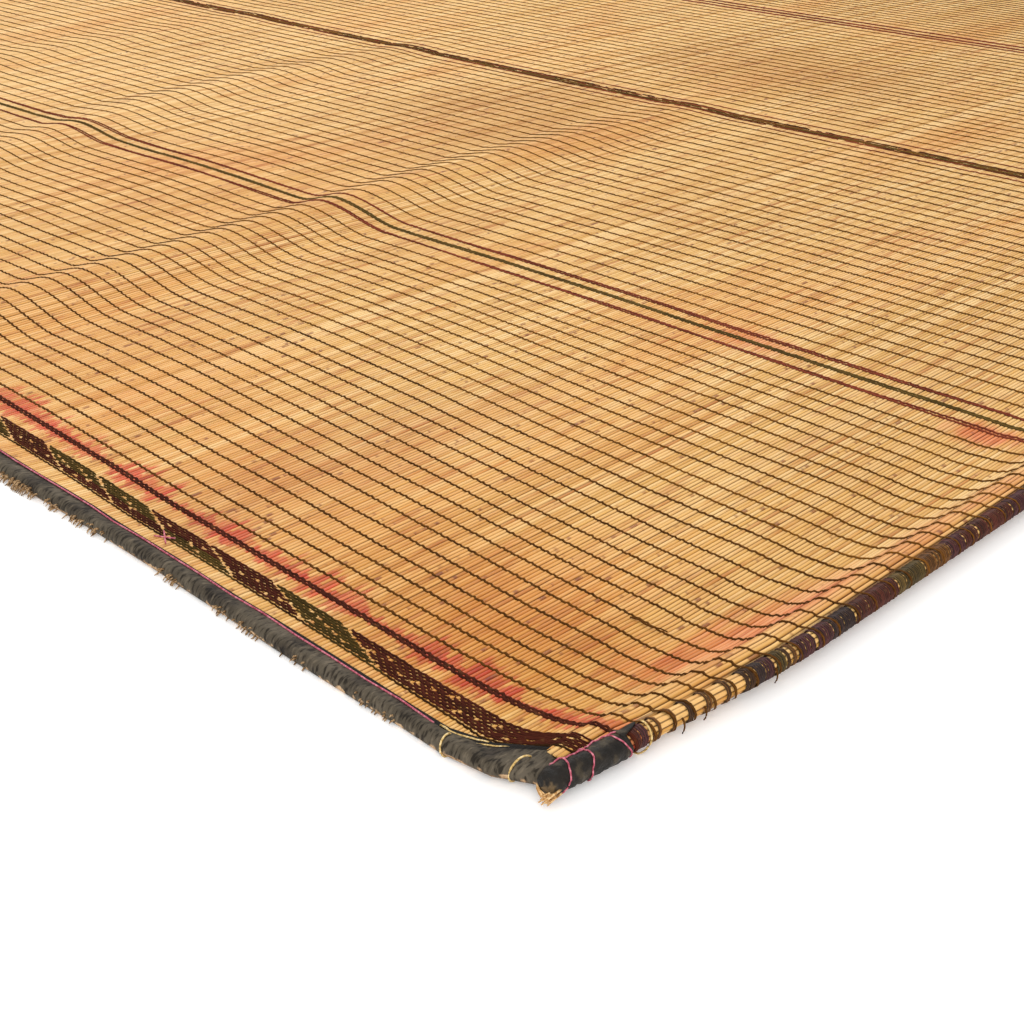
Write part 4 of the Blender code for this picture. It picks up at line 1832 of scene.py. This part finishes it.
    def build_straw(self) -> None:
        """Let a few frayed straws poke out of the near right cap."""
        form = self.lay.form
        draw = random.Random(self.seed)
        routes = []
        for _ in range(self.straws):
            side, up = draw.uniform(-0.0022, 0.0020), draw.uniform(-0.0036, 0.0006)
            x, z = form.cap_axis_x + 0.0005, form.cap_axis_height - 0.0015
            start = (x + side, self.straw_from - form.half_width, z + up)
            reach = draw.uniform(*self.straw_reach)
            middle = (start[0] + side * 0.1, start[1] - 0.5 * reach, start[2] - 0.0004)
            end = (start[0] + side * 0.5 - 0.0008, start[1] - reach, start[2] - 0.0010 + 0.3 * up)
            routes.append([start, middle, end])
        x, y = form.cap_axis_x - 0.0046, 0.0055 - form.half_width
        for turn in range(self.nose_strands):
            z = form.cap_axis_height - 0.0017 - 0.0008 * turn
            start, middle = (x - 0.0034, y + 0.0010, z + 0.0008), (x - 0.0004, y - 0.0007, z)
            routes.append([start, middle, (x + 0.0034, y, z - 0.0014)])
        piece = Bench.strands("frayed_straws", routes, self.straw_thickness, taper=0.55, sides=5)
        Bench.dress(piece, self.straw, "frayed_straw", ["straw_tuft"])

    def build_fibres(self) -> None:
        """Fray the lower outer side of the roll where it is rubbed through."""
        draw = random.Random(self.seed + 1)
        spots = self.torn_spots
        if self.roll.end is End.FAR:
            spots = tuple((draw.uniform(-1.4, 1.4), 18, 0.006) for _ in spots)
        routes = []
        for centre, count, reach in spots:
            for _ in range(count):
                x = centre + draw.gauss(0.0, self.torn_spread)
                angle = math.radians(draw.uniform(*self.torn_angles))
                start, low = self.roll.point(np.full(2, x), np.full(2, angle), np.array([-0.0003, 0.0016]))
                length = 0.50 * reach * draw.uniform(0.25, 1.0)
                drift = draw.uniform(-0.35, 0.35) * length
                out = self.roll.end.value
                end_y = low[1] + out * (0.25 * length if abs(low[1]) < self.lay.form.half_width else 0.0)
                tip = (x + drift * 1.4, end_y + out * 0.35 * length, max(0.0005, low[2] - 0.7 * length))
                routes.append([tuple(start), (low[0] + drift * 0.4, low[1], low[2]), tip])
        name = f"torn_fibres_{self.roll.end.name.lower()}"
        piece = Bench.strands(name, routes, self.fibre_thickness, taper=0.35, sides=3)
        Bench.dress(piece, self.fibre, "roll_leather")

    def build_tongue(self, cap: CornerCap) -> None:
        """Lay the cap's leather tongue over the hem at its mouth.

        Args:
            cap: the cap.
        """
        Bench.clear_selection()
        bpy.ops.mesh.primitive_grid_add(x_subdivisions=8, y_subdivisions=4, size=1.0)
        name = f"cap_tongue_{cap.end.name.lower()}_{cap.side.name.lower()}"
        piece = Bench.take(name)
        places = Bench.points(piece)
        along = places[:, 0] + 0.5
        across = places[:, 1] * 2.0
        form = self.lay.form
        angle = 1.85 + 0.62 * across * (1.0 - 0.60 * along**2) + 0.35 * along
        from_end = cap.mouth - 0.0030 + 0.0135 * along
        radius = 0.0073 - 0.0008 * ease(0.0, 0.45, along) + 0.0003 * np.sin(9.0 * along + 2.0 * across)
        y = cap.end.value * (form.half_width - from_end)
        Bench.move_points(piece, form.bundle_point(cap.side, y, angle, radius))
        thick = piece.modifiers.new("thickness", "SOLIDIFY")
        thick.thickness = 0.0009
        thick.offset = 0.0
        bpy.ops.object.modifier_apply(modifier=thick.name)
        Bench.note(piece, "wear", "FLOAT", np.zeros(len(piece.data.vertices)))
        Bench.face_outwards(piece)
        Bench.dress(piece, self.tongue, "cap_leather")


@dataclass
class LooseEnds:
    """Broken and loose thong ends on the right side near the corner."""

    lay: ReedLay
    material: Material
    thickness: float = 0.0012
    broken: tuple[Place, ...] = ((0.0905, 0.005, 1.0), (0.1055, 0.004, 0.6), (0.1560, 0.005, 0.9))
    loose_x: Span = (1.5000, 1.5268)
    loose_y: float = -0.9790

    def build(self) -> None:
        """Build the broken ends on the bundle and the loose one on the reeds."""
        form = self.lay.form
        share = np.linspace(0, 1, 6)
        routes = []
        for from_near, length, down in self.broken:
            y = np.full(6, from_near - form.half_width)
            line = form.bundle_point(Side.RIGHT, y, np.linspace(0.4, -0.9, 6), 0.0064 + 0.0012 * share)
            line[:, 1] += np.linspace(0.0, 0.5 * length, 6)
            line[:, 2] = np.maximum(line[:, 2] - down * length * share**2 * 0.5, 0.0008)
            routes.append(line)
        y = self.loose_y + 0.0012 * np.sin(np.linspace(0, 9, 6))
        height = self.lay.crest_height + 0.0009 + 0.0014 * share
        routes.append(self.lay.on_reeds(np.linspace(*self.loose_x, 6), y, height))
        piece = Bench.strands("loose_thong_ends", routes, self.thickness, taper=0.7)
        colour = np.tile(np.array(linear_colour(Dye.BROWN.value)), (len(piece.data.vertices), 1))
        Bench.note(piece, "thong_dye_and_painted_shade", "FLOAT_COLOR", colour)
        Bench.dress(piece, self.material, "thong_leather")


@dataclass
class Studio:
    """The pale floor, the soft lights and the camera at the photograph's angle."""

    camera_place: Place = (1.9697, -1.5592, 0.46)
    camera_tilt: float = 62.32
    camera_turn: float = 44.1
    lens: float = 55.1
    floor_size: float = 60.0
    floor_glow: float = 0.16
    air_strength: float = 0.935

    def build(self) -> None:
        """Build the floor, the world, the lights and the camera."""
        scene = bpy.context.scene
        scene.view_settings.view_transform = "Standard"
        scene.view_settings.look = "None"
        Bench.clear_selection()
        bpy.ops.mesh.primitive_plane_add(size=self.floor_size)
        floor = Bench.take("studio_floor")
        white = Finish("white_studio_floor", roughness=0.9, specular=0.1).start()
        white.shader.inputs["Base Color"].default_value = (0.98, 0.98, 0.98, 1.0)
        white.shader.inputs["Emission Color"].default_value = (1.0, 1.0, 1.0, 1.0)
        white.shader.inputs["Emission Strength"].default_value = self.floor_glow
        floor.data.materials.append(white.material)
        world = bpy.data.worlds.new("studio_air")
        world.use_nodes = True
        air = world.node_tree.nodes["Background"]
        air.inputs["Color"].default_value = (1.0, 0.985, 0.96, 1.0)
        air.inputs["Strength"].default_value = self.air_strength
        scene.world = world
        self.add_light("key_softbox", (-0.7, 1.2, 3.2), (1.2, -0.9, 0.0), 2.6, 63.0)
        self.add_light("fill_softbox", (3.4, -3.2, 2.6), (1.2, -0.8, 0.0), 2.4, 64.0)
        camera = bpy.data.objects.new("camera", bpy.data.cameras.new("camera"))
        scene.collection.objects.link(camera)
        camera.location = self.camera_place
        camera.rotation_euler = (math.radians(self.camera_tilt), 0.0, math.radians(self.camera_turn))
        camera.data.lens = self.lens
        camera.data.sensor_width = 36.0
        camera.data.clip_start = 0.02
        camera.data.clip_end = 200.0
        scene.camera = camera

    def add_light(self, name: str, place: Place, target: Place, size: float, power: float) -> None:
        """Add one square soft light.

        Args:
            name: the light's name.
            place: where it stands.
            target: what it points at.
            size: the length of its side.
            power: its power in watts.
        """
        light = bpy.data.lights.new(name, "AREA")
        light.shape = "SQUARE"
        light.size = size
        light.energy = power
        lamp = bpy.data.objects.new(name, light)
        bpy.context.scene.collection.objects.link(lamp)
        lamp.location = place
        aim = np.array(target) - np.array(place)
        yaw = math.atan2(aim[1], aim[0]) - math.pi / 2
        pitch = math.atan2(math.hypot(aim[0], aim[1]), -aim[2])
        lamp.rotation_euler = (pitch, 0.0, yaw)


@dataclass
class ReedMat:
    """The whole mat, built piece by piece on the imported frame."""

    form: MatForm = field(default_factory=MatForm)
    first_thongs: Row = (
        0.0746, 0.0884, 0.1027, 0.1179, 0.1344, 0.1515, 0.1676, 0.1850, 0.2016, 0.2182,
    )
    near_spacing: float = 0.0175
    wide_spacing: float = 0.0198
    triple_at: Row = (0.5202, 0.5225, 0.5384, 0.5411, 0.5546, 0.5569)
    second_thongs: Row = (0.5765, 0.5995, 0.6202)
    single_width: float = 0.0018
    worn_width: float = 0.0016
    worn_from: float = 0.30
    band_middle: float = 0.0356
    band_row_step: float = 0.00196
    double_at: Row = (0.0590, 0.0612)
    middle_band_at: float = 1.1340
    middle_dyes: tuple[Dye, ...] = (
        Dye.WORN_BURGUNDY, Dye.BROWN, Dye.OLIVE, Dye.WORN_BROWN,
        Dye.OLIVE, Dye.WORN_BURGUNDY, Dye.BROWN, Dye.BURGUNDY,
    )
    far_width: float = 0.85

    def half_lines(self) -> list[ThongLine]:
        """The single thongs of the near half, out from the border.

        Returns:
            The thongs in order.
        """
        places = list(self.first_thongs)
        while places[-1] + self.near_spacing < self.triple_at[0] - 0.010:
            places.append(places[-1] + self.near_spacing)
        places += list(self.second_thongs)
        while places[-1] + self.wide_spacing < self.middle_band_at - 0.034:
            places.append(places[-1] + self.wide_spacing)
        lines = [ThongLine(at, Dye.BROWN, self.single_width) for at in places if at < self.worn_from]
        lines += [ThongLine(at, Dye.WORN_BROWN, self.worn_width) for at in places if at >= self.worn_from]
        return lines

    def triple_lines(self) -> list[ThongLine]:
        """The burgundy, double brown and burgundy thongs."""
        dyes = (Dye.WORN_BURGUNDY,) * 2 + (Dye.OLIVE,) * 2 + (Dye.WORN_BURGUNDY,) * 2
        widths = (0.0023, 0.0023, 0.0028, 0.0028, 0.0023, 0.0023)
        return [ThongLine(at, dye, width) for at, dye, width in zip(self.triple_at, dyes, widths)]

    def border_lines(self) -> tuple[list[ThongLine], list[ThongLine]]:
        """The double burgundy thong and the patterned band of the near border.

        Returns:
            The double thong, and the band's rows.
        """
        double = [ThongLine(at, Dye.BURGUNDY, 0.0022) for at in self.double_at]
        lowest = self.band_middle - 4 * self.band_row_step - 0.0006
        rows = [ThongLine(lowest, Dye.DARK_BROWN, 0.0013, chart_row=0)]
        for row in range(1, 9):
            at = self.band_middle + (row - 4) * self.band_row_step
            rows.append(ThongLine(at, Dye.BURGUNDY, 0.0017, chart_row=row))
        return double, rows

    def middle_lines(self) -> list[ThongLine]:
        """The dark band across the middle of the mat.

        Returns:
            Its thongs.
        """
        lines = []
        for row, dye in enumerate(self.middle_dyes):
            at = self.middle_band_at + (row - 3.5) * 0.0025
            lines.append(ThongLine(at, dye, 0.0023, mottle=0.55, dips=0.08))
        for shift in (-0.023, 0.023):
            lines.append(ThongLine(self.middle_band_at + shift, Dye.WORN_BURGUNDY, 0.0020))
        return lines

    def mirrored(self, lines: Sequence[ThongLine]) -> list[ThongLine]:
        """The same thongs on the far half."""
        far, share = self.form.width, self.far_width
        return [ThongLine(far - line.at, line.dye, share * line.width, line.chart_row) for line in lines]

    def reed_stains(self) -> tuple[Stain, ...]:
        """The patches of other tints on the reeds, as the photograph shows them."""
        patches = (
            ("#F29C8C", 1.553, -0.974, 0.024, 0.050, 0.58), ("#F09686", 1.561, -0.930, 0.024, 0.050, 0.58),
            ("#F29C8C", 1.569, -0.886, 0.020, 0.050, 0.58), ("#F0A898", 1.577, -0.810, 0.020, 0.070, 0.50),
            ("#F0AEA0", 1.580, -0.720, 0.018, 0.060, 0.48), ("#F2A890", 1.540, -1.015, 0.030, 0.030, 0.45),
            ("#EADDDA", 1.225, -0.985, 0.080, 0.240, 0.55), ("#F2CC8C", 1.330, -1.020, 0.320, 0.130, 0.55),
            ("#E9D49A", 1.470, -1.050, 0.130, 0.090, 0.85), ("#F2C482", 0.900, -0.960, 0.360, 0.180, 0.40),
            ("#F4DCB8", 0.620, -0.640, 0.420, 0.260, 0.55), ("#D9BC84", 0.640, -0.200, 0.180, 0.320, 0.50),
            ("#D6B880", 0.720, 0.250, 0.260, 0.180, 0.50), ("#F0A096", 1.300, -0.590, 0.060, 0.025, 0.60),
            ("#F0988A", 1.518, -0.622, 0.036, 0.024, 0.80), ("#F6EEDC", 1.420, -0.930, 0.260, 0.240, 0.70),
        )
        return tuple(Stain(*patch) for patch in patches)

    def build(self) -> None:
        """Build every piece in order."""
        lay = ReedLay(self.form)
        reed = ReedFinish("dried_reed_stalks", roughness=0.50, specular=0.4, stains=self.reed_stains()).make()
        thong = ThongFinish("waxed_goat_thong", roughness=0.80, specular=0.05).make()
        wrap = ThongFinish("polished_goat_thong", roughness=0.50, specular=0.18, grain=0.0005).make()
        half = lay.count // 2
        field_of_reeds = ReedField(lay)
        for name, first, last in (("reeds_left_half", 0, half), ("reeds_right_half", half, lay.count)):
            piece = field_of_reeds.build(name, first, last)
            Bench.dress(piece, reed, "reed", ["reed_sheet"])
        self.build_thongs(ThongWork(lay, thong))
        for side in Side:
            EdgeBundle(lay, side, wrap, reed, sections=self.right_sections()).build()
        LooseEnds(lay, thong).build()
        self.build_leather(lay)

    def build_thongs(self, work: ThongWork) -> None:
        """Lay every thong.

        Args:
            work: the thong work.
        """
        near = self.half_lines()
        double, band = self.border_lines()
        triple = self.triple_lines()
        work.build("thongs_near_border", double, Detail.FINE)
        work.build("band_rows_near", band, Detail.MEDIUM)
        work.build("thongs_first_rows", near[:12], Detail.FINE)
        work.build("thongs_second_rows", near[12:26], Detail.MEDIUM)
        work.build("thongs_triple_near", triple, Detail.MEDIUM)
        work.build("thongs_third_rows", near[26:38], Detail.MEDIUM)
        work.build("thongs_fourth_rows", near[38:], Detail.FAR)
        work.build("thongs_middle_band", self.middle_lines(), Detail.FAR)
        work.build("thongs_far_half", self.mirrored(near), Detail.FAR)
        reddish = [replace(line, dye=Dye.WORN_BURGUNDY, width=0.0042) for line in self.mirrored(triple)]
        work.build("thongs_triple_far", reddish, Detail.FAR)
        work.build("band_rows_far", self.mirrored(band), Detail.FLAT)
        work.build("thongs_far_border", self.mirrored(double), Detail.FAR)
        work.build_underside("thongs_underside", near + self.mirrored(near) + triple + self.mirrored(triple))

    def build_leather(self, lay: ReedLay) -> None:
        """Build the rolls, the caps, and what is sewn and tied on them.

        Args:
            lay: the lay of the reeds.
        """
        skin = RollFinish("greyed_goatskin", roughness=0.74, specular=0.16).make()
        cap_skin = CapFinish("black_tanned_goatskin", roughness=0.52, specular=0.18).make()
        cotton = FibreFinish("pink_spun_cotton", roughness=0.8).make()
        raffia = FibreFinish("dried_raffia", 0.65, 0.3, "#8F7038", "#C9A766", "#E8D09C").make()
        straw = FibreFinish("frayed_straw", 0.75, 0.2, "#8F6238", "#C79A62", "#E6C898").make()
        fibre = FibreFinish("torn_leather_fibre", 0.85, 0.1, "#5E452E", "#9A7A56", "#C4A680").make()
        for end in End:
            roll = LeatherRoll(lay, end, skin)
            roll.build()
            trimmings = Trimmings(lay, roll, cotton, raffia, straw, fibre, cap_skin)
            trimmings.build_seam()
            trimmings.build_fibres()
            for side in Side:
                cap = CornerCap(lay, side, end, cap_skin)
                cap.build()
                trimmings.build_cap_thread(cap)
                trimmings.build_tongue(cap)
            if end is End.NEAR:
                trimmings.build_raffia()
                trimmings.build_straw()

    def right_sections(self) -> tuple[WrapSection, ...]:
        """The thong turns near the corner, where each thong has its own few turns."""
        turns = (
            (0.0600, 0.0640, Dye.BURGUNDY), (0.0646, 0.0690, Dye.PLUM), (0.0706, 0.0731, Dye.BROWN),
            (0.0751, 0.0778, Dye.BROWN), (0.0853, 0.0879, Dye.BROWN), (0.0957, 0.0998, Dye.DARK_BROWN),
            (0.1080, 0.1116, Dye.BROWN), (0.1221, 0.1250, Dye.BROWN), (0.1355, 0.1428, Dye.DARK_BROWN),
            (0.1441, 0.1500, Dye.BLUE_BLACK), (0.1503, 0.1564, Dye.PLUM), (0.1582, 0.1656, Dye.OLIVE_BROWN),
            (0.1668, 0.1692, Dye.DARK_BROWN), (0.1712, 0.1738, Dye.BROWN), (0.1756, 0.1900, Dye.PLUM),
            (0.1924, 0.2060, Dye.PLUM), (0.2064, 0.2268, Dye.BLUE_BLACK), (0.2285, 0.2700, Dye.BURGUNDY),
            (0.2712, 0.2786, Dye.OLIVE), (0.2790, 0.2985, Dye.OLIVE_BROWN), (0.2996, 0.3262, Dye.BROWN),
            (0.3270, 0.3428, Dye.PLUM), (0.3438, 0.3580, Dye.BURGUNDY), (0.3594, 0.3990, Dye.BURGUNDY),
            (0.4004, 0.4240, Dye.PLUM),
        )
        return tuple(WrapSection(*turn) for turn in turns)


def main() -> None:
    logging.basicConfig(level=logging.INFO, format="%(message)s")
    Studio().build()
    ReedMat().build()


if __name__ == "__main__":
    main()
